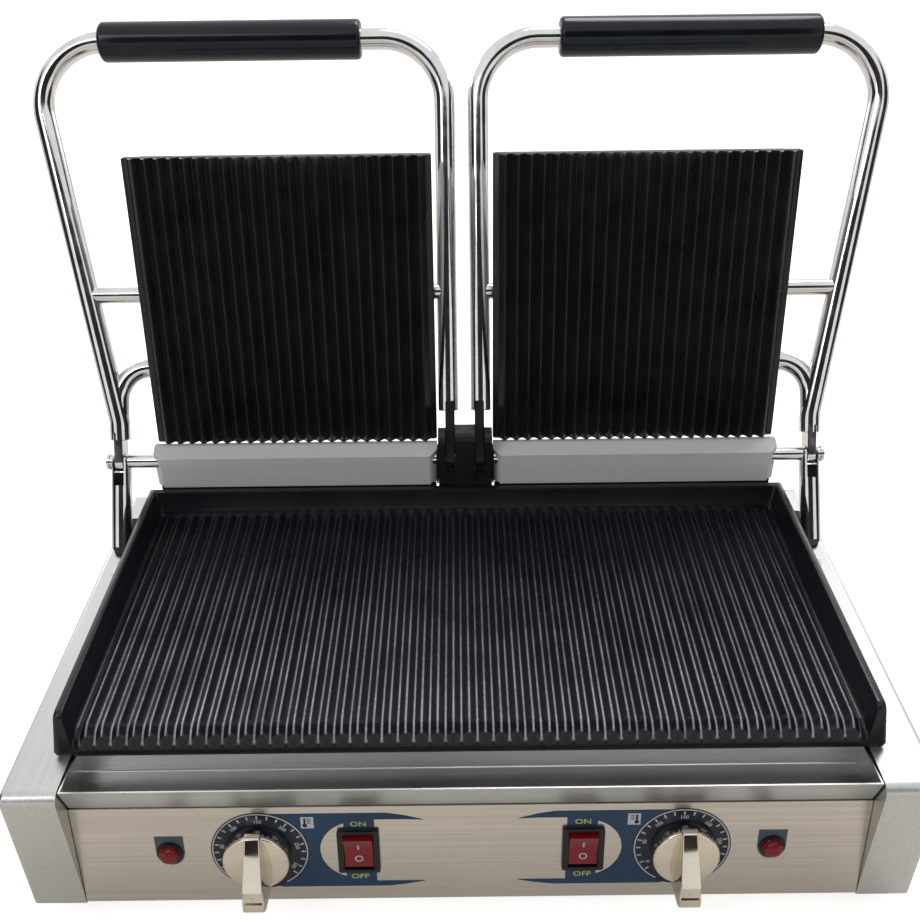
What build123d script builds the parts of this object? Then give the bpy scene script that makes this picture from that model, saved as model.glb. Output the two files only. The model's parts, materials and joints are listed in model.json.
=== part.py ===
from build123d import *
from math import atan2, cos, degrees, radians, sin
import os

# Double contact grill: one wide ribbed lower plate in a sheet-steel base, and two hinged lids,
# each with a tube handle and a self-levelling ribbed upper plate. Millimetres, +Z up, the open
# machine stands on Z = 0 with the origin under its middle. Front is -Y.

# base
body_height = 95.0
side_box_width = 33.0
sheet = 1.2
box_corner = 3.0
box_rear_corner = 14.0
foot_height = 18.0
foot_radius = 12.0
foot_inset = 30.0
seat_gap = 0.3
rear_shelf = 42.0
floor_setback = 4.0
vent_pitch = 26.0
vent_rows_apart = 60.0
vent_columns = 12
vent_length = 16.0
vent_width = 4.0
vent_back = 150.0
gland_side = 150.0
gland_rise = 32.0
gland_hole_radius = 8.0
gland_hex = 11.0
gland_hex_height = 5.0
gland_shank = 7.8
gland_neck = 9.0
gland_neck_length = 8.0
gland_taper = 12
gland_bore = 4.0
deck_lip = 20.0
deck_rear_lip = 16.0
wall_inset = 1.0
wall_seam = 0.2
plate_rear_gap = 1.0
deck_bolt_gap = 14.5
deck_bolt_radius = 6.0
deck_bolt_head = 2.6
deck_bolt_shank = 2.4
deck_bolt_length = 9.0
terminal_side = 110.0
terminal_back = 255.0
terminal_width = 46.0
terminal_depth = 22.0
terminal_height = 18.0
shield_drop = 34.0
shield_gap = 6.0
shield_wool = 12.0
shield_wool_side = 2.0
shield_wool_end = 3.0
foot_wall_gap = 4.0
foot_toe = 2.0
foot_taper = 6

# control panel and drip tray
panel_setback = 11.0
panel_height = 71.5
panel_foot = 1.5
panel_flange = 18.0
panel_shelf_lap = 2.0
tray_height = 22.5
tray_reach = 4.0
tray_depth = 35.0
tray_wall = 1.0
tray_side_gap = 1.2
tray_foot_back = 0.5
tray_back_drop = 4.0
tray_fold = 2.0

# lower cooking plate
lower_depth = 231.0
lower_front = 32.0
lower_slab = 12.0
rim_height = 33.0
rim_thickness = 5.0
rim_nose_radius = 6.0
rib_height = 5.5
rib_pitch = 8.9
rib_base = 6.4
rib_crest = 2.2
rib_front_margin = 6.0
rib_tip_run = 7.0
rib_rear_gap = 1.5
plate_side_gap = 1.2
plate_lap = 4.0

# upper cooking plates
upper_width = 212.5
upper_depth = 209.5
upper_slab = 9.0
plate_gap = 42.6
plate_lean = 9.7
plate_behind_hinge = 5.0
plate_bottom_rise = 63.3

# hinge and handle
hinge_behind_plate = 10.0
hinge_rise = 51.8
axle_radius = 5.0
running_fit = 0.05
pivot_behind_hinge = 57.0
pivot_rise = 163.0
pivot_radius = 6.0
pin_engagement = 6.0
tube_radius = 7.5
grip_behind_hinge = 140.5
grip_rise = 325.8
handle_bend = 45.0
post_inset = 8.0
arm_splay = 55.5
arm_knee = 14.0
arm_knee_bend = 30.0
inner_arm = 12.2
inner_arm_foot = 36.0
grip_radius = 14.0
grip_length = 190.0
grip_shift = 3.0
grip_chamfer = 3.0
conduit_radius = 7.0
conduit_bend = 24.0
conduit_behind_hinge = 37.0
conduit_rise = 112.0
hub_radius = 7.4
hub_width = 6.6
tube_start = 16.5
ear_gap = 0.3
post_before_hinge = 35.0
gasket_width = 16.0
gasket_length = 44.0
gasket_height = 2.5
gasket_corner = 6.0
axle_end = 0.5
axle_head = 1.0
axle_head_length = 2.0

# heating elements
heater_radius = 3.25
heater_bend = 14.0
heater_margin = 30.0
heater_tail = 6.0
clamp_length = 200.0
clamp_width = 14.0
clamp_sheet = 2.0
clamp_place = 70.0
upper_heater_margin = 46.25
upper_heater_end = 26.5
wool_side = 31.0
wool_end = 16.5
upper_wool = 10.0

# lid housings and hinge covers
housing_depth = 41.0
housing_inset = 3.0
housing_bevel = 12.0
boss_wall = 4.0
boss_floor = 1.0
cover_front = 7.0
cover_drop = 19.5
cover_back = 8.0
cover_ridge = 4.0
cover_shoulder = 5.8
cover_top = 10.7
cover_end_gap = 1.5
cover_ear_gap = 1.0
cover_bevel = 11.0

# controls
knob_place = 127.0
switch_place = 67.0
lamp_inset = 56.0
control_rise = 40.0
knob_drum_radius = 19.8
knob_drum_height = 10.5
knob_bar_length = 45.0
knob_bar_width = 11.0
knob_bar_height = 27.0
knob_overhang = 2.67
knob_chamfer = 1.2
knob_round = 2.0
knob_taper = 4
knob_bore = 14.0
shaft_radius = 3.0
shaft_length = 32.0
shaft_hole_fit = 2.2
bush_radius = 6.0
bush_length = 4.0
thermostat_size = 34.0
thermostat_corner = 3.0
thermostat_depth = 22.0
switch_width = 25.0
switch_height = 32.0
rocker_width = 17.0
rocker_height = 25.0
rocker_side_gap = 0.4
rocker_end_gap = 1.2
rocker_high = 6.5
rocker_low = 3.2
rocker_middle = 3.3
rocker_draft = 1.0
rocker_skirt = 1.0
rocker_keel = 6.0
rocker_well = 14.0
switch_bezel = 2.2
switch_corner = 1.5
switch_hole_inset = 1.5
switch_body_inset = 2.0
switch_body_depth = 20.0
trunnion_radius = 1.5
trunnion_depth = 1.5
trunnion_reach = 1.0
trunnion_end_gap = 0.4
lamp_radius = 6.5
lamp_flange = 1.2
lamp_bezel = 1.5
lamp_hole_inset = 1.0
lamp_body_inset = 1.2
lamp_body_depth = 16.0
lens_inset = 0.5
lens_height = 5.0
lens_round = 3.2

# centre hinge bracket
block_half = 7.5
lug_thickness = 6.0
lug_gap = 0.6
bracket_ear = 5.5
bracket_rise = 26.0
bracket_depth = 20.0
bracket_ear_step = 2.0
bracket_round = 6.0
bracket_foot_width = 60.0
bracket_foot_depth = 40.0
bracket_foot_height = 6.0
bracket_foot_corner = 4.0
bracket_foot_back = 10.0

lower_width = 2 * (upper_width + plate_side_gap + rim_thickness) + plate_gap
body_width = lower_width + 2 * (side_box_width - plate_lap)
plate_rear = lower_front + lower_depth
body_depth = plate_rear + rear_shelf
hinge_back = plate_rear + hinge_behind_plate
deck = foot_height + body_height
knob_reach = panel_setback * (control_rise - panel_foot) / panel_height - knob_bar_height - knob_overhang
front = -(hinge_back + grip_behind_hinge + grip_radius + knob_reach) / 2
inner_face = body_width / 2 - side_box_width
lamp_place = inner_face - lamp_inset
outer_arm_foot = body_width / 2 - post_inset
outer_arm_top = outer_arm_foot + arm_splay
lean = radians(plate_lean)
hinge_y = front + hinge_back
hinge_z = deck + hinge_rise
pivot_y = hinge_y + pivot_behind_hinge
pivot_z = deck + pivot_rise
grip_y = hinge_y + grip_behind_hinge
grip_z = deck + grip_rise
post_foot_y = hinge_y - post_before_hinge
gasket_middle = post_foot_y + tube_radius
deck_bolt_y = gasket_middle - gasket_length / 2 - deck_bolt_gap - deck_bolt_radius
ear_inner = block_half + lug_thickness + 2 * lug_gap
arm_angle = atan2(grip_behind_hinge, grip_rise - hinge_rise)
lid_centre = (plate_gap + upper_width) / 2
grip_centre = (outer_arm_top + inner_arm) / 2 + grip_shift
housing_side = -lid_centre - upper_width / 2 + housing_inset
plate_bottom_y = hinge_y + plate_behind_hinge
plate_bottom_z = deck + plate_bottom_rise
rib_top = deck + lower_slab + rib_height
rib_slope = degrees(atan2(rib_height, (rib_base - rib_crest) / 2))

# Faces of the upper plate: origin at the middle of the rib tops, X across, Y up the plate,
# Z towards the food.
face = Plane(
    origin=(
        -lid_centre,
        plate_bottom_y + upper_depth / 2 * sin(lean),
        plate_bottom_z + upper_depth / 2 * cos(lean),
    ),
    x_dir=(1, 0, 0),
    z_dir=(0, -cos(lean), sin(lean)),
)
pivot_local = face.to_local_coords(Vector(-lid_centre, pivot_y, pivot_z))

# Control panel: origin at the bottom edge, X across, Y up the slope, Z out of the panel.
panel_slope = atan2(panel_setback, panel_height)
panel = Plane(
    origin=(0, front, foot_height + panel_foot),
    x_dir=(1, 0, 0),
    z_dir=(0, -cos(panel_slope), sin(panel_slope)),
)
panel_out = Axis(panel.origin, panel.z_dir)
face_out = Axis(face.origin, face.z_dir)
control_up = (control_rise - panel_foot) / cos(panel_slope)

# Where the supply lead enters: origin on the back wall, Z out of the machine.
gland_plane = Plane(
    origin=(gland_side, front + body_depth, foot_height + gland_rise),
    x_dir=(1, 0, 0),
    z_dir=(0, 1, 0),
)

os.makedirs("parts", exist_ok=True)


def save(piece, name):
    piece.label = name
    export_step(piece, f"parts/{name}.step")


def pair(piece, name):
    with BuildPart() as other:
        mirror(piece, about=Plane.YZ)
    save(piece, f"left_{name}")
    save(other.part, f"right_{name}")


def side_plane(x):
    """A plane across the machine at x: its X runs back, its Y runs up, its Z points to +X."""
    return Plane(origin=(x, 0, 0), x_dir=(0, 1, 0), z_dir=(1, 0, 0))


def along_arm(distance, x):
    """A point on the lid's arm line, the given distance from the hinge."""
    return (x, hinge_y + distance * sin(arm_angle), hinge_z + distance * cos(arm_angle))


def arm_x(z):
    """The outer arm's place across the machine at height z: it splays out as it climbs."""
    share = (z - hinge_z) / (grip_z - hinge_z)
    return -(outer_arm_foot + (outer_arm_top - outer_arm_foot) * share)


# Side boxes: folded sheet, open underneath.
with BuildPart() as side_box:
    with BuildSketch(side_plane(-body_width / 2)):
        with BuildLine():
            low = foot_height
            FilletPolyline(
                (front, low),
                (front, deck),
                (front + body_depth, deck),
                (front + body_depth, low),
                radius=box_rear_corner / 2,
            )
            Line((front + body_depth, low), (front, low))
        make_face()
    extrude(amount=side_box_width)
    outer_edges = side_box.faces().sort_by(Axis.X)[0].edges().filter_by(lambda e: e.center().Z > low + 1)
    fillet(outer_edges, box_corner)
    offset(amount=-sheet, openings=side_box.faces().sort_by(Axis.Z)[0])
    box_middle = -inner_face - side_box_width / 2
    with BuildSketch(Plane.XY.offset(deck)):
        with Locations((box_middle, deck_bolt_y)):
            Circle(deck_bolt_shank + running_fit)
    extrude(amount=-2 * sheet, mode=Mode.SUBTRACT)
pair(side_box.part, "side_box")

# Base pan: floor and back wall between the side boxes.
with BuildPart() as base_pan:
    wall_back = front + body_depth - wall_inset
    with BuildSketch(side_plane(-inner_face + seat_gap)):
        with BuildLine():
            Polyline(
                (front + floor_setback, foot_height),
                (wall_back, foot_height),
                (wall_back, deck - sheet - seat_gap),
                (wall_back - sheet, deck - sheet - seat_gap),
                (wall_back - sheet, foot_height + sheet),
                (front + floor_setback, foot_height + sheet),
                close=True,
            )
        make_face()
    extrude(amount=2 * (inner_face - seat_gap))
    with BuildSketch(gland_plane):
        Circle(gland_hole_radius)
    extrude(amount=-2 * sheet - wall_inset, mode=Mode.SUBTRACT)
    with BuildSketch(Plane.XY.offset(foot_height)):
        with Locations((0, front + vent_back)):
            with GridLocations(vent_pitch, vent_rows_apart, vent_columns, 2):
                SlotOverall(vent_length, vent_width, rotation=90)
    extrude(amount=sheet, mode=Mode.SUBTRACT)
save(base_pan.part, "base_pan")

# Rear deck: the shelf behind the lower plate that carries the centre hinge bracket.
with BuildPart() as rear_deck:
    deck_start = front + plate_rear + plate_rear_gap
    deck_end = front + body_depth - sheet + wall_seam
    with BuildSketch(side_plane(-inner_face + seat_gap)):
        with BuildLine():
            Polyline(
                (deck_start, deck - deck_lip),
                (deck_start, deck),
                (front + body_depth, deck),
                (front + body_depth, deck - deck_rear_lip),
                (deck_end, deck - deck_rear_lip),
                (deck_end, deck - sheet),
                (deck_start + sheet, deck - sheet),
                (deck_start + sheet, deck - deck_lip),
                close=True,
            )
        make_face()
    extrude(amount=2 * (inner_face - seat_gap))
save(rear_deck.part, "rear_deck")

# Heat shield: the pan under the lower plate that holds the elements and the insulation.
shield_front = lower_front + tray_reach + shield_gap
shield_floor = deck - shield_drop
shield_half = inner_face - shield_gap
with BuildPart() as heat_shield:
    with BuildSketch(Plane.XY.offset(shield_floor)):
        with Locations((0, front + (shield_front + plate_rear) / 2)):
            Rectangle(2 * shield_half, plate_rear - shield_front)
    extrude(amount=deck - shield_floor)
    offset(amount=-sheet, openings=heat_shield.faces().sort_by(Axis.Z)[-1])
save(heat_shield.part, "heat_shield")

with BuildPart() as insulation:
    with BuildSketch(Plane.XY.offset(shield_floor + sheet)):
        with Locations((0, front + (shield_front + plate_rear) / 2)):
            Rectangle(2 * (shield_half - shield_wool_side), plate_rear - shield_front - 2 * shield_wool_end)
    extrude(amount=shield_wool)
save(insulation.part, "lower_insulation")

# Lower plate: a cast slab with a rim on three sides and front-to-back ribs.
with BuildPart() as lower_plate:
    half = lower_width / 2
    with BuildSketch(Plane.XY.offset(deck)):
        with Locations((0, front + lower_front + lower_depth / 2)):
            Rectangle(lower_width, lower_depth)
    extrude(amount=rim_height)
    with BuildSketch(Plane.XY.offset(deck + lower_slab)):
        with Locations((0, front + lower_front + (lower_depth - rim_thickness) / 2)):
            Rectangle(lower_width - 2 * rim_thickness, lower_depth - rim_thickness)
    extrude(amount=rim_height, mode=Mode.SUBTRACT)
    front_edges = lower_plate.edges().filter_by(Axis.X).group_by(Axis.Y)[0]
    fillet(front_edges.group_by(Axis.Z)[-1], rim_nose_radius)
    rib_count = int((lower_width - 2 * rim_thickness - 2) / rib_pitch)
    rib_start = Plane(
        origin=(0, front + plate_rear - rim_thickness - rib_rear_gap, deck + lower_slab),
        x_dir=(1, 0, 0),
        z_dir=(0, -1, 0),
    )
    with BuildSketch(rib_start):
        with GridLocations(rib_pitch, 1, rib_count, 1):
            with Locations((0, rib_height / 2)):
                Trapezoid(rib_base, rib_height, rib_slope)
    extrude(amount=lower_depth - rim_thickness - rib_rear_gap - rib_front_margin)
    with BuildSketch(side_plane(rim_thickness - half)):
        tip_y = front + lower_front + rib_front_margin
        with BuildLine():
            Polyline(
                (tip_y - 1, deck + lower_slab),
                (tip_y, deck + lower_slab),
                (tip_y + rib_tip_run, rib_top + 0.1),
                (tip_y - 1, rib_top + 0.1),
                close=True,
            )
        make_face()
    extrude(amount=lower_width - 2 * rim_thickness, mode=Mode.SUBTRACT)
save(lower_plate.part, "lower_plate")

# Lower elements: a hairpin tube under each half of the lower plate.
with BuildPart() as lower_heater:
    element_z = deck - heater_radius - seat_gap
    leg_pitch = (lower_width / 2 - 2 * heater_margin) / 3
    legs = [heater_margin - lower_width / 2 + leg_pitch * leg for leg in range(4)]
    leg_start = front + shield_front + heater_bend
    leg_front = leg_start + heater_tail
    leg_back = front + plate_rear - heater_margin
    with BuildLine():
        FilletPolyline(
            (legs[0], leg_start, element_z),
            (legs[0], leg_back, element_z),
            (legs[1], leg_back, element_z),
            (legs[1], leg_front, element_z),
            (legs[2], leg_front, element_z),
            (legs[2], leg_back, element_z),
            (legs[3], leg_back, element_z),
            (legs[3], leg_start, element_z),
            radius=heater_bend,
        )
    with BuildSketch(Plane(origin=(legs[0], leg_start, element_z), z_dir=(0, 1, 0))):
        Circle(heater_radius)
    sweep()
pair(lower_heater.part, "lower_heater")

# Bars that clamp the elements against the underside of the lower plate.
with BuildPart() as heater_clamps:
    with BuildSketch(Plane.XY.offset(deck - 2 * heater_radius - 2 * seat_gap)):
        for x in (-lower_width / 4, lower_width / 4):
            with Locations(
                (x, front + shield_front + clamp_place),
                (x, front + plate_rear - clamp_place),
            ):
                Rectangle(clamp_length, clamp_width)
    extrude(amount=-clamp_sheet)
save(heater_clamps.part, "heater_clamps")

# Control panel: a sheet that leans back, with a shelf for the tray and a lower flange.
with BuildPart() as control_panel:
    top_y = front + panel_setback
    shelf_end = front + lower_front + tray_reach + panel_shelf_lap
    top_z = foot_height + panel_foot + panel_height
    with BuildSketch(side_plane(-inner_face + seat_gap)):
        with BuildLine():
            Polyline(
                (front, foot_height + panel_foot),
                (top_y, top_z),
                (shelf_end, top_z),
                (shelf_end, top_z - sheet),
                (top_y + sheet, top_z - sheet),
                (front + sheet, foot_height + panel_foot + sheet),
                (front + panel_flange, foot_height + panel_foot + sheet),
                (front + panel_flange, foot_height + panel_foot),
                close=True,
            )
        make_face()
    extrude(amount=2 * (inner_face - seat_gap))
    with BuildSketch(panel):
        with Locations((-knob_place, control_up), (knob_place, control_up)):
            Circle(shaft_radius + shaft_hole_fit)
        with Locations((-lamp_place, control_up), (lamp_place, control_up)):
            Circle(lamp_radius - lamp_hole_inset)
        with Locations((-switch_place, control_up), (switch_place, control_up)):
            Rectangle(switch_width - 2 * switch_hole_inset, switch_height - 2 * switch_hole_inset)
    extrude(amount=-panel_setback, mode=Mode.SUBTRACT)
save(control_panel.part, "control_panel")

# Drip tray: a folded trough that slides out under the front edge of the lower plate.
with BuildPart() as drip_tray:
    tray_half = inner_face - tray_side_gap
    tray_floor = top_z + seat_gap
    tray_rim = tray_floor + tray_height
    tray_back = front + tray_reach + tray_depth
    with BuildSketch(side_plane(-tray_half)):
        with BuildLine():
            Polyline(
                (front + panel_setback + tray_foot_back, tray_floor),
                (front + tray_reach, tray_rim),
                (tray_back, tray_rim - tray_back_drop),
                (tray_back, tray_floor),
                close=True,
            )
        make_face()
    extrude(amount=2 * tray_half)
    fillet(drip_tray.faces().sort_by(Axis.Z)[0].edges().filter_by(Axis.X), tray_fold)
    offset(amount=-tray_wall, openings=drip_tray.faces().sort_by(Axis.Z)[-1])
save(drip_tray.part, "drip_tray")

# Knobs: a drum with a bar grip across it, on a steel shaft through the thermostat's bush.
with BuildPart() as knob:
    with BuildSketch(panel.offset(seat_gap)):
        with Locations((-knob_place, control_up)):
            Circle(knob_drum_radius)
    extrude(amount=knob_drum_height - seat_gap)
    chamfer(knob.faces().sort_by(panel_out)[-1].edges(), knob_chamfer)
    with BuildSketch(panel.offset(knob_drum_height - knob_chamfer)):
        with Locations((-knob_place, control_up)):
            Rectangle(knob_bar_width, knob_bar_length)
    extrude(amount=knob_bar_height - knob_drum_height + knob_chamfer, taper=knob_taper)
    fillet(knob.faces().sort_by(panel_out)[-1].edges(), knob_round)
    with BuildSketch(panel):
        with Locations((-knob_place, control_up)):
            Circle(shaft_radius)
    extrude(amount=knob_bore, mode=Mode.SUBTRACT)
pair(knob.part, "knob")

with BuildPart() as knob_shaft:
    with BuildSketch(panel.offset(knob_bore)):
        with Locations((-knob_place, control_up)):
            Circle(shaft_radius)
    extrude(amount=-shaft_length)
pair(knob_shaft.part, "knob_shaft")

# Thermostats: a body with a threaded bush and nut behind the panel.
with BuildPart() as thermostat:
    with BuildSketch(panel.offset(-sheet - bush_length)):
        with Locations((-knob_place, control_up)):
            RectangleRounded(thermostat_size, thermostat_size, thermostat_corner)
    extrude(amount=-thermostat_depth)
    with BuildSketch(panel.offset(-sheet - seat_gap)):
        with Locations((-knob_place, control_up)):
            Circle(bush_radius)
    extrude(amount=-bush_length)
    with BuildSketch(panel):
        with Locations((-knob_place, control_up)):
            Circle(shaft_radius + running_fit)
    extrude(amount=knob_bore - shaft_length - 1, mode=Mode.SUBTRACT)
pair(thermostat.part, "thermostat")

# Rocker switches: a black frame with a red rocker on trunnions.
with BuildPart() as switch_frame:
    with BuildSketch(panel):
        with Locations((-switch_place, control_up)):
            RectangleRounded(switch_width, switch_height, switch_corner)
    extrude(amount=switch_bezel)
    with BuildSketch(panel):
        with Locations((-switch_place, control_up)):
            Rectangle(switch_width - 2 * switch_body_inset, switch_height - 2 * switch_body_inset)
    extrude(amount=-switch_body_depth)
    with BuildSketch(panel.offset(switch_bezel)):
        with Locations((-switch_place, control_up)):
            Rectangle(rocker_width + 2 * rocker_side_gap, rocker_height + 2 * rocker_end_gap)
    extrude(amount=-rocker_well, mode=Mode.SUBTRACT)
    trunnion_point = panel.from_local_coords(Vector(-switch_place, control_up, -trunnion_depth))
    trunnion = Plane(trunnion_point, x_dir=(0, 1, 0), z_dir=(1, 0, 0))
    with BuildSketch(trunnion):
        Circle(trunnion_radius + running_fit)
    trunnion_end = rocker_width / 2 + trunnion_reach
    extrude(amount=trunnion_end + trunnion_end_gap, both=True, mode=Mode.SUBTRACT)
pair(switch_frame.part, "switch_frame")

with BuildPart() as rocker:
    pad = Plane(trunnion.origin - Vector(rocker_width / 2, 0, 0), x_dir=panel.y_dir, z_dir=(1, 0, 0))
    with BuildSketch(pad):
        with BuildLine():
            reach = rocker_height / 2
            high_end = (reach - rocker_draft, rocker_high)
            low_end = (rocker_draft - reach, rocker_low)
            Polyline(high_end, (reach, -rocker_skirt), (0, -rocker_keel), (-reach, -rocker_skirt), low_end)
            ThreePointArc(low_end, (0, rocker_middle), high_end)
        make_face()
    extrude(amount=rocker_width)
    with BuildSketch(trunnion):
        Circle(trunnion_radius)
    extrude(amount=trunnion_end, both=True)
pair(rocker.part, "rocker")

# Pilot lamps: a body through the panel and a domed lens.
with BuildPart() as lamp_body:
    with BuildSketch(panel):
        with Locations((-lamp_place, control_up)):
            Circle(lamp_radius + lamp_flange)
    extrude(amount=lamp_bezel)
    with BuildSketch(panel):
        with Locations((-lamp_place, control_up)):
            Circle(lamp_radius - lamp_body_inset)
    extrude(amount=-lamp_body_depth)
pair(lamp_body.part, "lamp_body")

with BuildPart() as lamp_lens:
    with BuildSketch(panel.offset(lamp_bezel)):
        with Locations((-lamp_place, control_up)):
            Circle(lamp_radius - lens_inset)
    extrude(amount=lens_height)
    fillet(lamp_lens.faces().sort_by(panel_out)[-1].edges(), lens_round)
pair(lamp_lens.part, "lamp_lens")

# Feet, and the gland where the supply lead enters.
with BuildPart() as feet:
    with BuildSketch(Plane.XY):
        with Locations((0, front + body_depth / 2)):
            foot_span = 2 * (inner_face - foot_radius - foot_wall_gap)
            with GridLocations(foot_span, body_depth - 2 * foot_inset, 2, 2):
                Circle(foot_radius - foot_toe)
    extrude(amount=foot_height, taper=-foot_taper)
save(feet.part, "feet")

with BuildPart() as cable_gland:
    with BuildSketch(gland_plane.offset(-wall_inset)):
        RegularPolygon(gland_hex, 6)
    extrude(amount=gland_hex_height)
    with BuildSketch(gland_plane.offset(-wall_inset)):
        Circle(gland_shank)
    extrude(amount=-gland_neck_length)
    with BuildSketch(gland_plane.offset(gland_hex_height - wall_inset)):
        Circle(gland_neck)
    extrude(amount=gland_neck_length, taper=gland_taper)
    with BuildSketch(gland_plane.offset(gland_hex_height)):
        Circle(gland_bore)
    extrude(amount=2 * gland_neck_length, both=True, mode=Mode.SUBTRACT)
save(cable_gland.part, "cable_gland")

with BuildPart() as terminal_block:
    with BuildSketch(Plane.XY.offset(foot_height + sheet)):
        with Locations((terminal_side, front + terminal_back)):
            Rectangle(terminal_width, terminal_depth)
    extrude(amount=terminal_height)
save(terminal_block.part, "terminal_block")

with BuildPart() as deck_bolts:
    for side in (-1, 1):
        with BuildSketch(Plane.XY.offset(deck)):
            with Locations((side * box_middle, deck_bolt_y)):
                Circle(deck_bolt_radius)
        extrude(amount=deck_bolt_head)
        with BuildSketch(Plane.XY.offset(deck)):
            with Locations((side * box_middle, deck_bolt_y)):
                Circle(deck_bolt_shank)
        extrude(amount=-deck_bolt_length)
save(deck_bolts.part, "deck_bolts")

# Outer hinge posts: a tube on the side box in line with the wiring conduit, round at the top and
# slit there for the lid's hub, with a rubber gasket round its foot.
post_top = Vector(-outer_arm_foot, hinge_y, hinge_z)
post_foot = Vector(-outer_arm_foot, post_foot_y, deck)
post_dir = (post_foot - post_top).normalized()
post_length = (post_foot - post_top).length + 2 * tube_radius
slit_width = hub_width + 2 * ear_gap
slit_depth = tube_start + 1.5
with BuildPart() as hinge_post:
    with BuildSketch(Plane(post_top, z_dir=post_dir)):
        Circle(tube_radius)
    extrude(amount=post_length)
    with Locations(post_top):
        Sphere(tube_radius)
    with BuildSketch(Plane.XY.offset(deck)):
        with Locations(post_foot):
            Circle(4 * tube_radius)
    extrude(amount=-4 * tube_radius, mode=Mode.SUBTRACT)
    slit = Plane(post_top - Vector(slit_width / 2, 0, 0), x_dir=post_dir, z_dir=(1, 0, 0))
    with BuildSketch(slit):
        with Locations((slit_depth / 2 - tube_radius, 0)):
            Rectangle(slit_depth + 2 * tube_radius, 4 * tube_radius)
    extrude(amount=slit_width, mode=Mode.SUBTRACT)
    with BuildSketch(Plane(post_top, x_dir=(0, 1, 0), z_dir=(1, 0, 0))):
        Circle(axle_radius + running_fit)
    extrude(amount=2 * tube_radius, both=True, mode=Mode.SUBTRACT)
pair(hinge_post.part, "hinge_post")

with BuildPart() as post_gasket:
    with BuildSketch(Plane.XY.offset(deck)):
        with Locations((gasket_width / 2 - outer_arm_foot - box_corner, gasket_middle)):
            RectangleRounded(gasket_width, gasket_length, gasket_corner)
    extrude(amount=gasket_height)
    with BuildSketch(Plane(post_top, z_dir=post_dir)):
        Circle(tube_radius + running_fit)
    extrude(amount=post_length + tube_radius, mode=Mode.SUBTRACT)
pair(post_gasket.part, "post_gasket")

# Centre hinge bracket: black casting with a round-topped block and two ears.
with BuildPart() as centre_bracket:
    with BuildSketch(Plane.XY.offset(deck)):
        with Locations((0, hinge_y + bracket_foot_back)):
            RectangleRounded(bracket_foot_width, bracket_foot_depth, bracket_foot_corner)
    extrude(amount=bracket_foot_height)
    with BuildSketch(side_plane(-block_half)):
        with Locations((hinge_y, (deck + hinge_z + bracket_rise) / 2)):
            Rectangle(bracket_depth, bracket_rise + hinge_rise)
    extrude(amount=2 * block_half)
    ear_rise = bracket_rise - bracket_ear_step
    for start in (-ear_inner - bracket_ear, ear_inner):
        with BuildSketch(side_plane(start)):
            with Locations((hinge_y, (deck + hinge_z + ear_rise) / 2)):
                Rectangle(bracket_depth - bracket_ear_step, ear_rise + hinge_rise)
        extrude(amount=bracket_ear)
    top_edges = centre_bracket.edges().filter_by(Axis.X).filter_by(lambda e: e.center().Z > hinge_z)
    fillet(top_edges, bracket_round)
    with BuildSketch(Plane((0, hinge_y, hinge_z), x_dir=(0, 1, 0), z_dir=(1, 0, 0))):
        Circle(axle_radius + running_fit)
    extrude(amount=bracket_foot_width, both=True, mode=Mode.SUBTRACT)
save(centre_bracket.part, "centre_hinge_bracket")

# Lid axles: one rod for each lid, from the outer ear to the centre block.
with BuildPart() as axle:
    axle_start = -outer_arm_foot - tube_radius - axle_end
    axle_plane = Plane((axle_start, hinge_y, hinge_z), x_dir=(0, 1, 0), z_dir=(1, 0, 0))
    with BuildSketch(axle_plane):
        Circle(axle_radius)
    extrude(amount=-axle_start - 2 * axle_end)
    with BuildSketch(axle_plane):
        Circle(axle_radius + axle_head)
    extrude(amount=-axle_head_length)
pair(axle.part, "axle")

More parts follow.
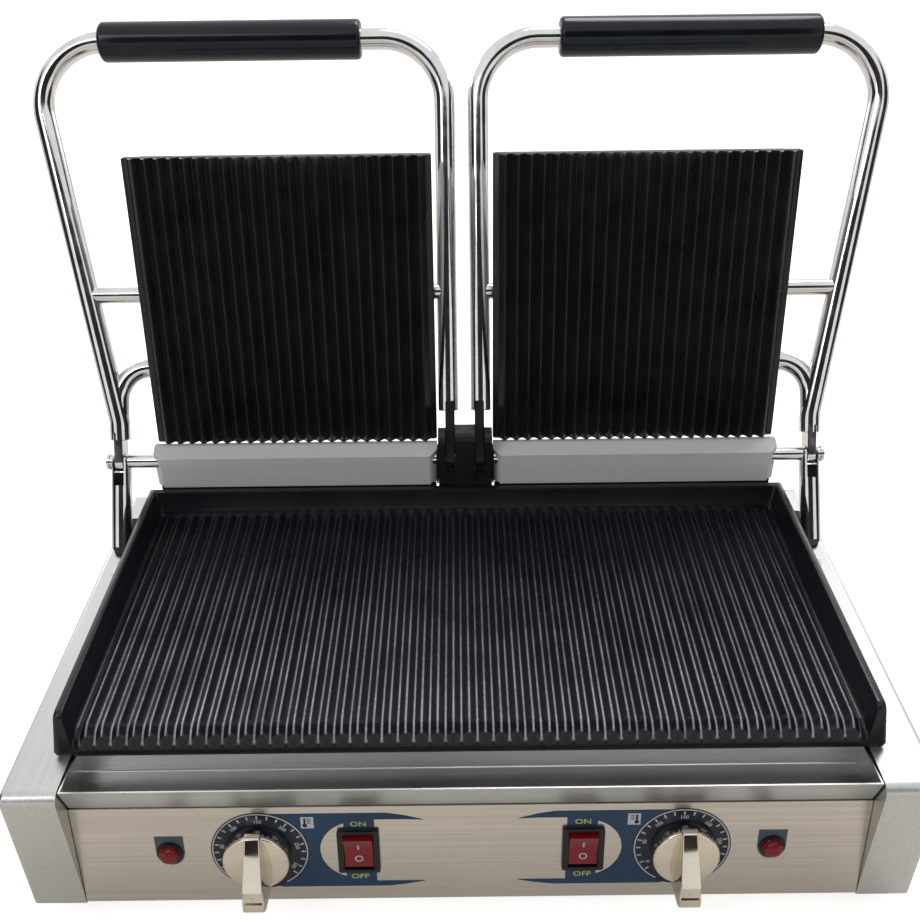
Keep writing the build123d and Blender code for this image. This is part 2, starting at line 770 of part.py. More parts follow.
# Handle frame: bent tube with a hub, an eye lug, two swivel pins and the wiring conduit.
with BuildPart() as handle_frame:
    foot = along_arm(tube_start, -outer_arm_foot)
    knee = along_arm(tube_start + arm_knee, -outer_arm_foot)
    inner_start = along_arm(inner_arm_foot, -inner_arm)
    outer_top = (-outer_arm_top, grip_y, grip_z)
    inner_top = (-inner_arm, grip_y, grip_z)
    arm_bends = [arm_knee_bend, handle_bend, handle_bend]
    with BuildLine() as tube_line:
        FilletPolyline(foot, knee, outer_top, inner_top, inner_start, radius=arm_bends)
    with BuildSketch(Plane(foot, z_dir=(0, sin(arm_angle), cos(arm_angle)))):
        Circle(tube_radius)
    sweep()
    with BuildLine() as conduit_line:
        bend_at = Vector(-outer_arm_foot, hinge_y + conduit_behind_hinge, deck + conduit_rise)
        entry = Vector(housing_side - seat_gap, bend_at.Y, bend_at.Z)
        FilletPolyline(knee, bend_at, entry, radius=conduit_bend)
    with BuildSketch(Plane(knee, z_dir=bend_at - Vector(*knee))):
        Circle(conduit_radius)
    sweep(path=conduit_line.line)
    hub = Plane(
        (-outer_arm_foot - hub_width / 2, hinge_y, hinge_z),
        x_dir=(0, sin(arm_angle), cos(arm_angle)),
        z_dir=(1, 0, 0),
    )
    with BuildSketch(hub):
        Circle(hub_radius)
        with Locations((tube_start / 2 + 3, 0)):
            Rectangle(tube_start + 6, 2 * tube_radius)
    extrude(amount=hub_width)
    lug = Plane(
        (-ear_inner + lug_gap, hinge_y, hinge_z),
        x_dir=(0, sin(arm_angle), cos(arm_angle)),
        z_dir=(1, 0, 0),
    )
    lug_reach = inner_arm_foot + tube_radius
    with BuildSketch(lug):
        with BuildLine():
            Line((0, -tube_radius), (lug_reach, -tube_radius))
            Line((lug_reach, -tube_radius), (lug_reach, tube_radius))
            Line((lug_reach, tube_radius), (0, tube_radius))
            ThreePointArc((0, tube_radius), (-tube_radius, 0), (0, -tube_radius))
        make_face()
    extrude(amount=lug_thickness)
    pin_outer = Plane((arm_x(pivot_z), pivot_y, pivot_z), x_dir=(0, 1, 0), z_dir=(1, 0, 0))
    with BuildSketch(pin_outer):
        Circle(pivot_radius)
    extrude(amount=housing_side - arm_x(pivot_z) + pin_engagement)
    pin_inner = Plane((-inner_arm, pivot_y, pivot_z), x_dir=(0, 1, 0), z_dir=(1, 0, 0))
    with BuildSketch(pin_inner):
        Circle(pivot_radius)
    extrude(amount=inner_arm - plate_gap / 2 - housing_inset - pin_engagement)
    with BuildSketch(hub):
        Circle(axle_radius)
    extrude(amount=hub_width, mode=Mode.SUBTRACT)
    with BuildSketch(lug):
        Circle(axle_radius)
    extrude(amount=lug_thickness, mode=Mode.SUBTRACT)
pair(handle_frame.part, "handle_frame")

with BuildPart() as grip:
    grip_start = (-grip_centre - grip_length / 2, grip_y, grip_z)
    with BuildSketch(Plane(grip_start, x_dir=(0, 1, 0), z_dir=(1, 0, 0))):
        Circle(grip_radius)
        Circle(tube_radius + running_fit, mode=Mode.SUBTRACT)
    extrude(amount=grip_length)
    outer_rings = grip.edges().filter_by(GeomType.CIRCLE).filter_by(lambda e: e.radius > grip_radius - 1)
    chamfer(outer_rings, grip_chamfer)
pair(grip.part, "grip")

# Hinge cover: the folded strip round the axle under the plate's lower edge.
with BuildPart() as hinge_cover:
    cover_outer = -lid_centre - upper_width / 2 - cover_end_gap
    cover_inner = -ear_inner - bracket_ear - cover_ear_gap
    with BuildSketch(side_plane(cover_outer)):
        with BuildLine():
            Polyline(
                (hinge_y - cover_front, hinge_z - cover_drop),
                (hinge_y - cover_front, hinge_z + cover_shoulder),
                (hinge_y + cover_ridge, hinge_z + cover_top),
                (hinge_y + cover_back, hinge_z + cover_top),
                (hinge_y + cover_back, hinge_z - cover_drop),
                close=True,
            )
        make_face()
    extrude(amount=cover_inner - cover_outer)
    front_edges = (
        hinge_cover.edges()
        .filter_by(Axis.Z)
        .filter_by(lambda e: e.center().Y < hinge_y - cover_front + 0.1)
    )
    chamfer(front_edges, cover_bevel / 2)
    open_faces = hinge_cover.faces().filter_by(lambda f: f.normal_at().Y > 0.9 or f.normal_at().Z < -0.9)
    offset(amount=-sheet, openings=open_faces)
    with BuildSketch(Plane((cover_outer, hinge_y, hinge_z), x_dir=(0, 1, 0), z_dir=(1, 0, 0))):
        Circle(axle_radius)
    extrude(amount=cover_inner - cover_outer, mode=Mode.SUBTRACT)
pair(hinge_cover.part, "hinge_cover")

# Upper plate: ribbed casting.
with BuildPart() as upper_plate:
    with BuildSketch(face.offset(-rib_height)):
        Rectangle(upper_width, upper_depth)
    extrude(amount=-upper_slab)
    upper_ribs = int((upper_width - 1) / rib_pitch) + 1
    end = Plane(
        face.from_local_coords(Vector(0, -upper_depth / 2, -rib_height)),
        x_dir=(1, 0, 0),
        z_dir=-face.y_dir,
    )
    with BuildSketch(end):
        with GridLocations(rib_pitch, 1, upper_ribs, 1):
            with Locations((0, rib_height / 2)):
                Trapezoid(rib_base, rib_height, rib_slope)
    extrude(amount=-upper_depth)
pair(upper_plate.part, "upper_plate")

# Lid housing: drawn steel cover behind the upper plate, carried on the swivel pins.
back_of_slab = -rib_height - upper_slab
with BuildPart() as housing:
    with BuildSketch(face.offset(back_of_slab)):
        Rectangle(upper_width - 2 * housing_inset, upper_depth - 2 * housing_inset)
    extrude(amount=-housing_depth)
    chamfer(housing.faces().sort_by(face_out)[0].edges(), housing_bevel)
    offset(amount=-sheet, openings=housing.faces().sort_by(face_out)[-1])
    for side in (-1, 1):
        boss_x = side * (upper_width / 2 - housing_inset)
        boss = Plane(
            face.from_local_coords(Vector(boss_x, pivot_local.Y, pivot_local.Z)),
            x_dir=face.y_dir,
            z_dir=(-side, 0, 0),
        )
        with BuildSketch(boss):
            Circle(pivot_radius + boss_wall)
        extrude(amount=pin_engagement + boss_floor)
        with BuildSketch(boss):
            Circle(pivot_radius + running_fit)
        extrude(amount=pin_engagement + 2 * boss_floor, mode=Mode.SUBTRACT)
pair(housing.part, "lid_housing")

with BuildPart() as upper_heater:
    heater_depth = back_of_slab - heater_radius - seat_gap
    rod_side = upper_width / 2 - upper_heater_margin
    rod_foot = upper_heater_end - upper_depth / 2
    rod_loop = rod_foot + heater_bend + heater_tail
    rod_top = upper_depth / 2 - upper_heater_end - heater_tail
    bends = [
        (-rod_side, rod_foot),
        (-rod_side, rod_top),
        (-rod_side / 3, rod_top),
        (-rod_side / 3, rod_loop),
        (rod_side / 3, rod_loop),
        (rod_side / 3, rod_top),
        (rod_side, rod_top),
        (rod_side, rod_foot),
    ]
    corners = [face.from_local_coords(Vector(across, up, heater_depth)) for across, up in bends]
    with BuildLine():
        FilletPolyline(corners, radius=heater_bend)
    with BuildSketch(Plane(corners[0], z_dir=face.y_dir)):
        Circle(heater_radius)
    sweep()
pair(upper_heater.part, "upper_heater")

with BuildPart() as upper_insulation:
    with BuildSketch(face.offset(back_of_slab - 2 * heater_radius - 2 * seat_gap)):
        Rectangle(upper_width - 2 * wool_side, upper_depth - 2 * wool_end)
    extrude(amount=-upper_wool)
pair(upper_insulation.part, "upper_insulation")
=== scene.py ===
import json
import bmesh
import bpy
import numpy as np
from mathutils import Matrix, Vector


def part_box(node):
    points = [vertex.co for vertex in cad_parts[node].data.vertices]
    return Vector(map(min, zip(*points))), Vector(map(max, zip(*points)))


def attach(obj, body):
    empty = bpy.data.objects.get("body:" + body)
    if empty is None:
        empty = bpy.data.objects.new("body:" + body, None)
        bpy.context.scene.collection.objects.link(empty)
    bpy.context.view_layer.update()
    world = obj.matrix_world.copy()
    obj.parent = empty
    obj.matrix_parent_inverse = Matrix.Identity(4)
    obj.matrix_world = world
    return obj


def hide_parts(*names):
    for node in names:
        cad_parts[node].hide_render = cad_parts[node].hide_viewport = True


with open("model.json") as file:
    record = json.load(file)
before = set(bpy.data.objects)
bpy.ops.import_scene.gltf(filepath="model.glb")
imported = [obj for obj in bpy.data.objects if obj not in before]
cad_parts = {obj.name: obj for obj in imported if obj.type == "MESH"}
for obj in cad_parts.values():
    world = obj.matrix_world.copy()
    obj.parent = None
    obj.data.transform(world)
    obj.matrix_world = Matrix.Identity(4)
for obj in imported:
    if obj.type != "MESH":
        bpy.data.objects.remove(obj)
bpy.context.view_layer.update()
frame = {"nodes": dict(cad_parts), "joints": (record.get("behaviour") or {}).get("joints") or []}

nodes = frame["nodes"]
joints = {joint["name"]: joint for joint in frame["joints"]}
mm = 0.001
print("frame loaded:", len(nodes), "nodes")

# The machine's lines in millimetres, as in the CAD. "Back" is from the panel's foot, "Rise" from the
# top of the base.
machine = {
    "front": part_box("control_panel")[0].y / mm,
    "deck": 113.0, "panelFoot": 19.5, "panelRise": 71.5,
    "panelSetback": 11.0, "controlHeight": 58.0,
    "plateLean": np.radians(9.7),
    "upperWidth": 212.5, "upperDepth": 209.5, "plateGap": 42.6,
    "plateFootBack": 278.0, "plateFootRise": 63.3, "gripBack": 413.5,
    "gripRise": 325.8, "postRun": 35.0,
}
front = machine["front"]
deck = machine["deck"]
lidCentre = (machine["plateGap"] + machine["upperWidth"]) / 2
plateHalf = machine["upperWidth"] / 2
lidEdge = lidCentre + plateHalf
hingeY, hingeZ = (np.array(joints["left_lid_hinge"]["pos_m"]) / mm)[1:]
pivotY, pivotZ = (np.array(joints["left_plate_swivel"]["pos_m"]) / mm)[1:]
gripY, gripZ = front + machine["gripBack"], deck + machine["gripRise"]
sides = (("left", 1), ("right", -1))

lowerPlate = {
    "width": 480.0, "back": 32.0, "depth": 231.0,
    "slab": 12.0, "frontEdge": 4.6, "frontFall": 12.0,
    "rim": 33.0, "rimThick": 5.0, "draft": 5.0,
    "pitch": 9.4, "ribHeight": 4.4, "ribs": 49,
    "ribFoot": 1.1, "tipStart": 0.4, "tipRun": 3.0,
    "tailRun": 7.3, "noseRadius": 6.0,
    "middleStations": (40, 60, 100, 160, 200),
    "tailStations": (9.5, 7.0, 4.5),
    "wallBefore": (2.2, 1.0, 0.4, 0.0),
    "wallRise": (0.0, 0.1, 0.9, 1.0),
    "edgeBefore": (1.2, 0.4, 0.0),
    "edgeDrop": (0.0, 0.2, 1.0),
    "rimFoot": ((0.4, 0.0), (0.75, 0.9), (1.0, 3.2)),
    "rimCrown": ((0.3, 1.2), (0.0, 0.5), (-0.6, 0.0)),
    "rimLip": ((0.9, 0.0), (0.2, 0.3), (-0.2, 1.2)),
    "rimFillet": ((-1.1, 1.6), (-2.6, 0.0)),
}
valleyRise = lowerPlate["slab"] + lowerPlate["ribFoot"]
frontDrop = valleyRise - lowerPlate["frontEdge"]
weldGap, thinEdge = 2e-6, 1e-7


def unit(v):
    v = np.asarray(v, float)
    return v / np.linalg.norm(v, axis=-1, keepdims=True)


# Quads between neighbouring points of a rows x cols grid, closed on itself where asked.
def gridFaces(rows, cols, wrapRows=False, wrapCols=False):
    r = np.arange(rows if wrapRows else rows - 1)[:, None]
    c = np.arange(cols if wrapCols else cols - 1)[None, :]
    r2, c2 = (r + 1) % rows, (c + 1) % cols
    quads = np.broadcast_arrays(r * cols + c, r * cols + c2, r2 * cols + c2, r2 * cols + c)
    return np.stack(quads, -1).reshape(-1, 4)


# Joins grids (points of shape rows x cols x 3, with their wraps) into one mesh in metres. A fourth
# value of True puts a flat face over the first row and the last. Doubles are merged.
def makePiece(name, grids, material, smooth=35, closed=True):
    points, faces, count = [], [], 0
    for p, wrapRows, wrapCols, *capped in grids:
        rows, cols = p.shape[:2]
        points.append(np.asarray(p, float).reshape(-1, 3))
        faces += (gridFaces(rows, cols, wrapRows, wrapCols) + count).tolist()
        if capped and capped[0]:
            last = count + (rows - 1) * cols
            faces += [list(range(count, count + cols)), list(range(last, last + cols))]
        count += rows * cols
    mesh = bpy.data.meshes.new(name)
    mesh.from_pydata((np.concatenate(points) * mm).tolist(), [], faces)
    work = bmesh.new()
    work.from_mesh(mesh)
    bmesh.ops.remove_doubles(work, verts=work.verts, dist=weldGap)
    bmesh.ops.dissolve_degenerate(work, edges=work.edges, dist=thinEdge)
    if closed:
        bmesh.ops.recalc_face_normals(work, faces=work.faces)
    work.to_mesh(mesh)
    work.free()
    mesh.shade_smooth()
    mesh.set_sharp_from_angle(angle=np.radians(smooth))
    return placeMesh(name, mesh, material)


def newObject(name, data):
    made = bpy.data.objects.new(name, data)
    bpy.context.scene.collection.objects.link(made)
    return made


def placeMesh(name, mesh, material):
    piece = newObject(name, mesh)
    mesh.materials.clear()
    mesh.materials.append(material)
    return piece


# A copy of a grid list mirrored about the machine's middle plane.
def mirrored(grids, way):
    flip = np.array([way, 1, 1])
    return [(p * flip, *rest) for p, *rest in grids]


# One piece with its finish, the body that it moves with, and the CAD node that it stands for,
# if any.
def addPiece(name, grids, look, body, smooth=35, stands=None, closed=True):
    piece = makePiece(name, grids, finish[look], smooth, closed)
    if stands:
        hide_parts(stands)
    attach(piece, body)


# The same piece for the left half and, mirrored, for the right. Grids are given for the left.
def addPair(name, grids, look, body, smooth=35, stands=None, closed=True):
    for side, way in sides:
        own = body if body == "base" else side + "_" + body
        node = stands and side + "_" + stands
        addPiece(side + name, mirrored(grids, way), look, own, smooth, node, closed)


# Straight runs joined by arcs that touch both runs at each inner corner.
def bentPath(corners, radii, steps=16):
    corners = [np.asarray(c, float) for c in corners]
    path = [corners[0][None]]
    for before, corner, after, radius in zip(corners, corners[1:], corners[2:], radii):
        a, b = unit(before - corner), unit(after - corner)
        half = np.arccos(np.clip(a @ b, -1, 1)) / 2
        centre = corner + unit(a + b) * radius / np.sin(half)
        start = corner + a * radius / np.tan(half) - centre
        end = corner + b * radius / np.tan(half) - centre
        turn = np.pi - 2 * half
        k = np.linspace(0, 1, steps)[:, None]
        path.append(centre + (np.sin((1 - k) * turn) * start + np.sin(k * turn) * end) / np.sin(turn))
    path.append(corners[-1][None])
    return np.concatenate(path)


# A circle carried along a path in the plane with this normal, with a bevelled cap at each end.
def tubeGrid(path, radius, normal, sides=28, cap=0.6):
    ahead = unit(path[1] - path[0])
    behind = unit(path[-1] - path[-2])
    first = [path[0], path[0], path[0] + ahead * cap]
    last = [path[-1] - behind * cap, path[-1], path[-1]]
    path = np.concatenate([first, path[1:-1], last])
    radii = np.full(len(path), float(radius))
    radii[[0, -1]] = 0
    radii[[1, -2]] = radius - cap
    along = np.gradient(path, axis=0)
    along[:3], along[-3:] = ahead, behind
    along = unit(along)
    across = unit(np.cross(along, normal))
    up = np.cross(across, along)
    t = np.linspace(0, 2 * np.pi, sides, endpoint=False)
    ring = across[:, None] * np.cos(t)[None, :, None] + up[:, None] * np.sin(t)[None, :, None]
    return path[:, None] + ring * radii[:, None, None], False, True


# A profile of (distance along the axis, radius) turned once round the axis.
def turnedGrid(profile, origin, axis, sides=48):
    profile = np.asarray(profile, float)
    axis = unit(axis)
    first = unit(np.cross(axis, (0, 0, 1) if abs(axis[2]) < 0.9 else (1, 0, 0)))
    second = np.cross(axis, first)
    t = np.linspace(0, 2 * np.pi, sides, endpoint=False)
    ring = first * np.cos(t)[:, None] + second * np.sin(t)[:, None]
    points = np.asarray(origin, float) + profile[:, None, :1] * axis + profile[:, None, 1:] * ring[None]
    return points, False, True


# A straight prism: a closed outline in the plane of y and z, from one x to another.
def prismGrid(outline, start, end):
    outline = np.asarray(outline, float)
    rows = [np.column_stack([np.full(len(outline), x), outline]) for x in (start, end)]
    return np.stack(rows), False, True, True


# A point on a flat surface: across the machine, up the surface, out of it.
def surfacePlace(origin, upWay, outWay, x, up, out):
    x, up, out = np.broadcast_arrays(np.asarray(x, float), up, out)
    return origin + x[..., None] * np.array([1, 0, 0]) + up[..., None] * upWay + out[..., None] * outWay


# The control panel leans back. Its origin is its foot, and the controls sit on one line.
panelUp = unit([0, machine["panelSetback"], machine["panelRise"]])
panelOut = np.cross([1, 0, 0], panelUp)
panelFoot = np.array([0, front, machine["panelFoot"]])
controlUp = (machine["controlHeight"] - machine["panelFoot"]) / panelUp[2]

# The left upper plate's rib tops: up the plate, and out towards the food.
lean = machine["plateLean"]
faceUp = np.array([0, np.sin(lean), np.cos(lean)])
faceOut = np.array([0, -np.cos(lean), np.sin(lean)])
faceFoot = np.array([-lidCentre, front + machine["plateFootBack"], deck + machine["plateFootRise"]])
faceMiddle = faceFoot + faceUp * machine["upperDepth"] / 2


def onPanel(x, up, out=0.0):
    return surfacePlace(panelFoot, panelUp, panelOut, x, up, out)


def onFace(x, up, out=0.0):
    return surfacePlace(faceMiddle, faceUp, faceOut, x, up, out)


def setOrLink(tree, value, socket):
    if isinstance(value, bpy.types.NodeSocket):
        tree.links.new(value, socket)
    else:
        socket.default_value = value


# Sets a node's own sockets. An underscore stands for a space in a socket's label.
def setInputs(node, **values):
    for label, value in values.items():
        node.inputs[label.replace("_", " ")].default_value = value


def noiseNode(tree, vector, scale, detail, rough):
    noise = tree.nodes.new("ShaderNodeTexNoise")
    setInputs(noise, Detail=detail, Roughness=rough)
    setOrLink(tree, scale, noise.inputs["Scale"])
    tree.links.new(vector, noise.inputs["Vector"])
    return noise.outputs["Fac"]


def rangeNode(tree, value, low, high, toLow=0.0, toHigh=1.0):
    node = tree.nodes.new("ShaderNodeMapRange")
    tree.links.new(value, node.inputs["Value"])
    setInputs(node, From_Min=low, From_Max=high, To_Min=toLow, To_Max=toHigh)
    return node.outputs["Result"]


def mathNode(tree, operation, first, second=None):
    node = tree.nodes.new("ShaderNodeMath")
    node.operation = operation
    tree.links.new(first, node.inputs[0])
    if second:
        tree.links.new(second, node.inputs[1])
    return node.outputs[0]


# A group of noises in the object's own space. Each is the label and value of its size, the label of
# its output, its detail and its roughness. A size of three numbers stretches the noise.
def noiseGroup(name, *noises):
    group = bpy.data.node_groups.new(name, "ShaderNodeTree")
    for sizeLabel, size, label, detail, rough in noises:
        kind = "NodeSocketVector" if isinstance(size, tuple) else "NodeSocketFloat"
        group.interface.new_socket(name=sizeLabel, in_out="INPUT", socket_type=kind).default_value = size
        group.interface.new_socket(name=label, in_out="OUTPUT", socket_type="NodeSocketFloat")
    entry, exit = group.nodes.new("NodeGroupInput"), group.nodes.new("NodeGroupOutput")
    coords = group.nodes.new("ShaderNodeTexCoord").outputs["Object"]
    for sizeLabel, size, label, detail, rough in noises:
        vector, scale = coords, entry.outputs[sizeLabel]
        if isinstance(size, tuple):
            mapping = group.nodes.new("ShaderNodeMapping")
            group.links.new(coords, mapping.inputs["Vector"])
            group.links.new(scale, mapping.inputs["Scale"])
            vector, scale = mapping.outputs["Vector"], 1.0
        group.links.new(noiseNode(group, vector, scale, detail, rough), exit.inputs[label])
    return group


# Brush lines with a broad unevenness, and fine grain with handling marks.
brushGroup = noiseGroup(
    "brushLines",
    ("Stretch", (2.0, 400.0, 400.0), "Lines", 5.0, 0.65),
    ("Patch Size", 9.0, "Patches", 3.0, 0.55),
)
grainGroup = noiseGroup(
    "fineGrain",
    ("Grain Size", 900.0, "Grain", 2.0, 0.6),
    ("Mark Size", 30.0, "Marks", 4.0, 0.6),
)

# Noise keeps mostly inside these spans, so masks are stretched from them to 0 and 1.
wideSpan = (0.3, 0.7)
midSpan = (0.35, 0.65)
tightSpan = (0.42, 0.58)


def newMaterial(name):
    material = bpy.data.materials.new(name)
    material.use_nodes = True
    tree = material.node_tree
    return material, tree, tree.nodes["Principled BSDF"]


def placeGroup(tree, group, **values):
    node = tree.nodes.new("ShaderNodeGroup")
    node.node_tree = group
    setInputs(node, **values)
    return node


def objectPlace(tree):
    place = tree.nodes.new("ShaderNodeSeparateXYZ")
    tree.links.new(tree.nodes.new("ShaderNodeTexCoord").outputs["Object"], place.inputs["Vector"])
    return place


# Each of the two colours is three numbers or another colour's socket.
def mixColour(tree, factor, first, second):
    mix = tree.nodes.new("ShaderNodeMix")
    mix.data_type = "RGBA"
    tree.links.new(factor, mix.inputs["Factor"])
    for label, colour in (("A", first), ("B", second)):
        setOrLink(tree, (*colour, 1) if isinstance(colour, tuple) else colour, mix.inputs[label])
    return mix.outputs["Result"]


def bumpInto(tree, shader, height, strength, distance):
    bump = tree.nodes.new("ShaderNodeBump")
    setInputs(bump, Strength=strength, Distance=distance)
    tree.links.new(height, bump.inputs["Height"])
    tree.links.new(bump.outputs["Normal"], shader.inputs["Normal"])


def wireLook(tree, shader, colour, roughness):
    tree.links.new(colour, shader.inputs["Base Color"])
    tree.links.new(roughness, shader.inputs["Roughness"])


# Sheet steel, brushed one way. Shade colours, where given, take over behind a line across the
# machine: inside the tray the steel is painted darker, a painted shade for the dark plate that it reflects.
def steelMaterial(name, dark, light, gloss, stretch, metal=1.0, used=None, patchSize=8.0,
                  bump=(0.12, 0.0004)):
    material, tree, shader = newMaterial(name)
    setInputs(shader, Metallic=metal)
    brush = placeGroup(tree, brushGroup, Stretch=stretch, Patch_Size=patchSize)
    tone = rangeNode(tree, brush.outputs["Lines"], *wideSpan)
    colour = mixColour(tree, tone, dark, light)
    if used:
        shadedTone = mixColour(tree, tone, used["dark"], used["light"])
        line = (front + used["from"]) * mm, (front + used["to"]) * mm
        colour = mixColour(tree, rangeNode(tree, objectPlace(tree).outputs["Y"], *line), colour, shadedTone)
    wireLook(tree, shader, colour, rangeNode(tree, brush.outputs["Patches"], *wideSpan, *gloss))
    bumpInto(tree, shader, brush.outputs["Lines"], *bump)
    return material


# Everything moulded, cast, painted or plated: colour and gloss vary with the marks, grain is bump.
def plainMaterial(name, dark, light, gloss, metal=0.0, specular=0.35, grainSize=900.0, grain=0.1,
                  markSize=30.0, depth=0.0002):
    material, tree, shader = newMaterial(name)
    setInputs(shader, Metallic=metal)
    if not metal:
        setInputs(shader, Specular_IOR_Level=specular)
    texture = placeGroup(tree, grainGroup, Grain_Size=grainSize, Mark_Size=markSize)
    marks = texture.outputs["Marks"]
    colour = mixColour(tree, rangeNode(tree, marks, *midSpan), dark, light)
    wireLook(tree, shader, colour, rangeNode(tree, marks, *wideSpan, *gloss))
    bumpInto(tree, shader, texture.outputs["Grain"], grain, depth)
    return material


# A band of heights: full from the end of its rise to the start of its fall, both from a level.
def bandMask(tree, height, level, rise, fall):
    low = rangeNode(tree, height, (level + rise[0]) * mm, (level + rise[1]) * mm)
    high = rangeNode(tree, height, (level + fall[0]) * mm, (level + fall[1]) * mm, 1.0, 0.0)
    return mathNode(tree, "MULTIPLY", low, high)


# The lower plate's iron: black, with painted highlights along the crests and valleys that stand in for
# reflections of the room.
# Both are bands of heights over the falling floor, kept to the ribbed field, fading towards the back, and
# uneven.
def highlitIronMaterial(name, p, plate):
    material, tree, shader = newMaterial(name)
    setInputs(shader, Specular_IOR_Level=p["specular"])
    texture = placeGroup(tree, grainGroup, Grain_Size=p["grainSize"], Mark_Size=p["markSize"])
    marks, place = texture.outputs["Marks"], objectPlace(tree)
    depth, start = place.outputs["Y"], (front + plate["back"]) * mm
    fall = rangeNode(tree, depth, start, start + plate["frontFall"] * mm, 1.0, 0.0)
    fallen = rangeNode(tree, mathNode(tree, "MULTIPLY", fall, fall), 0.0, 1.0, 0.0, frontDrop * mm)
    height = mathNode(tree, "ADD", place.outputs["Z"], fallen)
    valley = deck + valleyRise
    crests = bandMask(tree, height, valley + plate["ribHeight"], p["crestRise"], p["crestFall"])
    valleys = bandMask(tree, height, valley, p["valleyRise"], p["valleyFall"])
    ribEnd = plate["ribs"] * plate["pitch"] / 2 - p["sideInset"]
    reach = mathNode(tree, "ABSOLUTE", place.outputs["X"])
    ribbed = rangeNode(tree, reach, ribEnd * mm, (ribEnd + p["sideBlend"]) * mm, 1.0, 0.0)
    edge = rangeNode(tree, depth, start + p["edgeRise"][0] * mm, start + p["edgeRise"][1] * mm)
    field = mathNode(tree, "MULTIPLY", ribbed, edge)
    lines = mathNode(tree, "MULTIPLY", mathNode(tree, "MAXIMUM", crests, valleys), field)
    fade = rangeNode(tree, depth, start, start + p["fade"] * mm, 1.0, p["far"])
    patches = rangeNode(tree, marks, *midSpan, p["patchLow"], 1.0)
    grains = rangeNode(tree, texture.outputs["Grain"], *tightSpan, p["grainLow"], 1.0)
    uneven = mathNode(tree, "MULTIPLY", patches, grains)
    # Painted highlight: the crest and valley lines take a bright colour, strongest at the front.
    glints = mathNode(tree, "MULTIPLY", lines, mathNode(tree, "MULTIPLY", fade, uneven))
    colour = mixColour(tree, glints, mixColour(tree, marks, p["dark"], p["light"]), p["bare"])
    wireLook(tree, shader, colour, rangeNode(tree, marks, *wideSpan, *p["gloss"]))
    bumpInto(tree, shader, texture.outputs["Grain"], p["grain"], p["grainDepth"])
    return material


alongX, alongY = {"stretch": (2.0, 700.0, 700.0)}, {"stretch": (700.0, 2.0, 700.0)}
chromeGrain = {"metal": 1.0, "grainSize": 300.0, "grain": 0.04, "markSize": 60.0}
filmGrain = {"grainSize": 500.0, "grain": 0.05}
# Painted shade: the tray's inside is darker than its front wall.
trayInsideShade = {"dark": (0.46, 0.46, 0.45), "light": (0.56, 0.56, 0.55), "from": 8.0, "to": 12.5}
# Each look: dark colour, light colour, gloss, and what differs from the common values.
steelLooks = {
    "steelAcross": ((0.50, 0.47, 0.425), (0.61, 0.575, 0.53), (0.2, 0.34), alongX),
    "steelBack": ((0.49, 0.50, 0.49), (0.60, 0.61, 0.60), (0.26, 0.4), alongY),
    "steelLid": ((0.46, 0.47, 0.48), (0.58, 0.59, 0.60), (0.3, 0.45), alongX),
    "satinCover": ((0.72, 0.74, 0.76), (0.80, 0.82, 0.84), (0.4, 0.5), {**alongX, "metal": 0.0}),
    "steelTray": ((0.68, 0.71, 0.71), (0.80, 0.83, 0.83), (0.24, 0.36), {**alongX, "used": trayInsideShade}),
}
plainLooks = {
    "chrome": ((0.62, 0.62, 0.63), (0.72, 0.72, 0.73), (0.06, 0.16), chromeGrain),
    "knobChrome": ((0.60, 0.545, 0.46), (0.70, 0.64, 0.55), (0.08, 0.18), chromeGrain),
    "castIron": ((0.009, 0.009, 0.010), (0.016, 0.016, 0.018), (0.24, 0.42),
                 {"grainSize": 1600.0, "grain": 0.3, "markSize": 45.0}),
    "blackPaint": ((0.006, 0.006, 0.007), (0.011, 0.011, 0.012), (0.35, 0.5),
                   {"grainSize": 1200.0, "grain": 0.2}),
    "gripPlastic": ((0.005, 0.007, 0.012), (0.008, 0.011, 0.018), (0.15, 0.22),
                    {"specular": 0.3, "grainSize": 700.0, "grain": 0.05}),
    "blackPlastic": ((0.006, 0.006, 0.0065), (0.011, 0.011, 0.012), (0.35, 0.5), {"grainSize": 1500.0}),
    "redPlastic": ((0.20, 0.004, 0.010), (0.29, 0.007, 0.015), (0.15, 0.25),
                   {"grainSize": 600.0, "grain": 0.03}),
    "redLens": ((0.18, 0.003, 0.006), (0.26, 0.006, 0.010), (0.08, 0.14),
                {"grainSize": 400.0, "grain": 0.03}),
    "footRubber": ((0.015, 0.015, 0.015), (0.03, 0.03, 0.03), (0.6, 0.8),
                   {"grainSize": 1200.0, "grain": 0.3}),
    "woolBoard": ((0.62, 0.60, 0.54), (0.75, 0.73, 0.67), (0.8, 0.95),
                  {"grainSize": 250.0, "grain": 0.5, "markSize": 20.0, "depth": 0.001}),
    "elementTube": ((0.10, 0.10, 0.11), (0.18, 0.17, 0.17), (0.4, 0.6),
                    {"metal": 0.6, "grainSize": 800.0, "grain": 0.2}),
    "zincPlate": ((0.50, 0.50, 0.47), (0.62, 0.62, 0.60), (0.28, 0.42), {"metal": 1.0, "grainSize": 700.0}),
    "darkCard": ((0.02, 0.02, 0.02), (0.03, 0.03, 0.03), (0.8, 0.9), {}),
    "blueFilm": ((0.006, 0.035, 0.10), (0.008, 0.055, 0.14), (0.22, 0.34), filmGrain),
    "navyFilm": ((0.006, 0.010, 0.028), (0.010, 0.016, 0.04), (0.2, 0.32), filmGrain),
    "whiteFilm": ((0.50, 0.54, 0.58), (0.68, 0.70, 0.72), (0.4, 0.55), filmGrain),
    "greyFilm": ((0.045, 0.07, 0.10), (0.08, 0.11, 0.14), (0.35, 0.5), filmGrain),
    "limeFilm": ((0.42, 0.55, 0.12), (0.55, 0.66, 0.20), (0.4, 0.55), filmGrain),
}
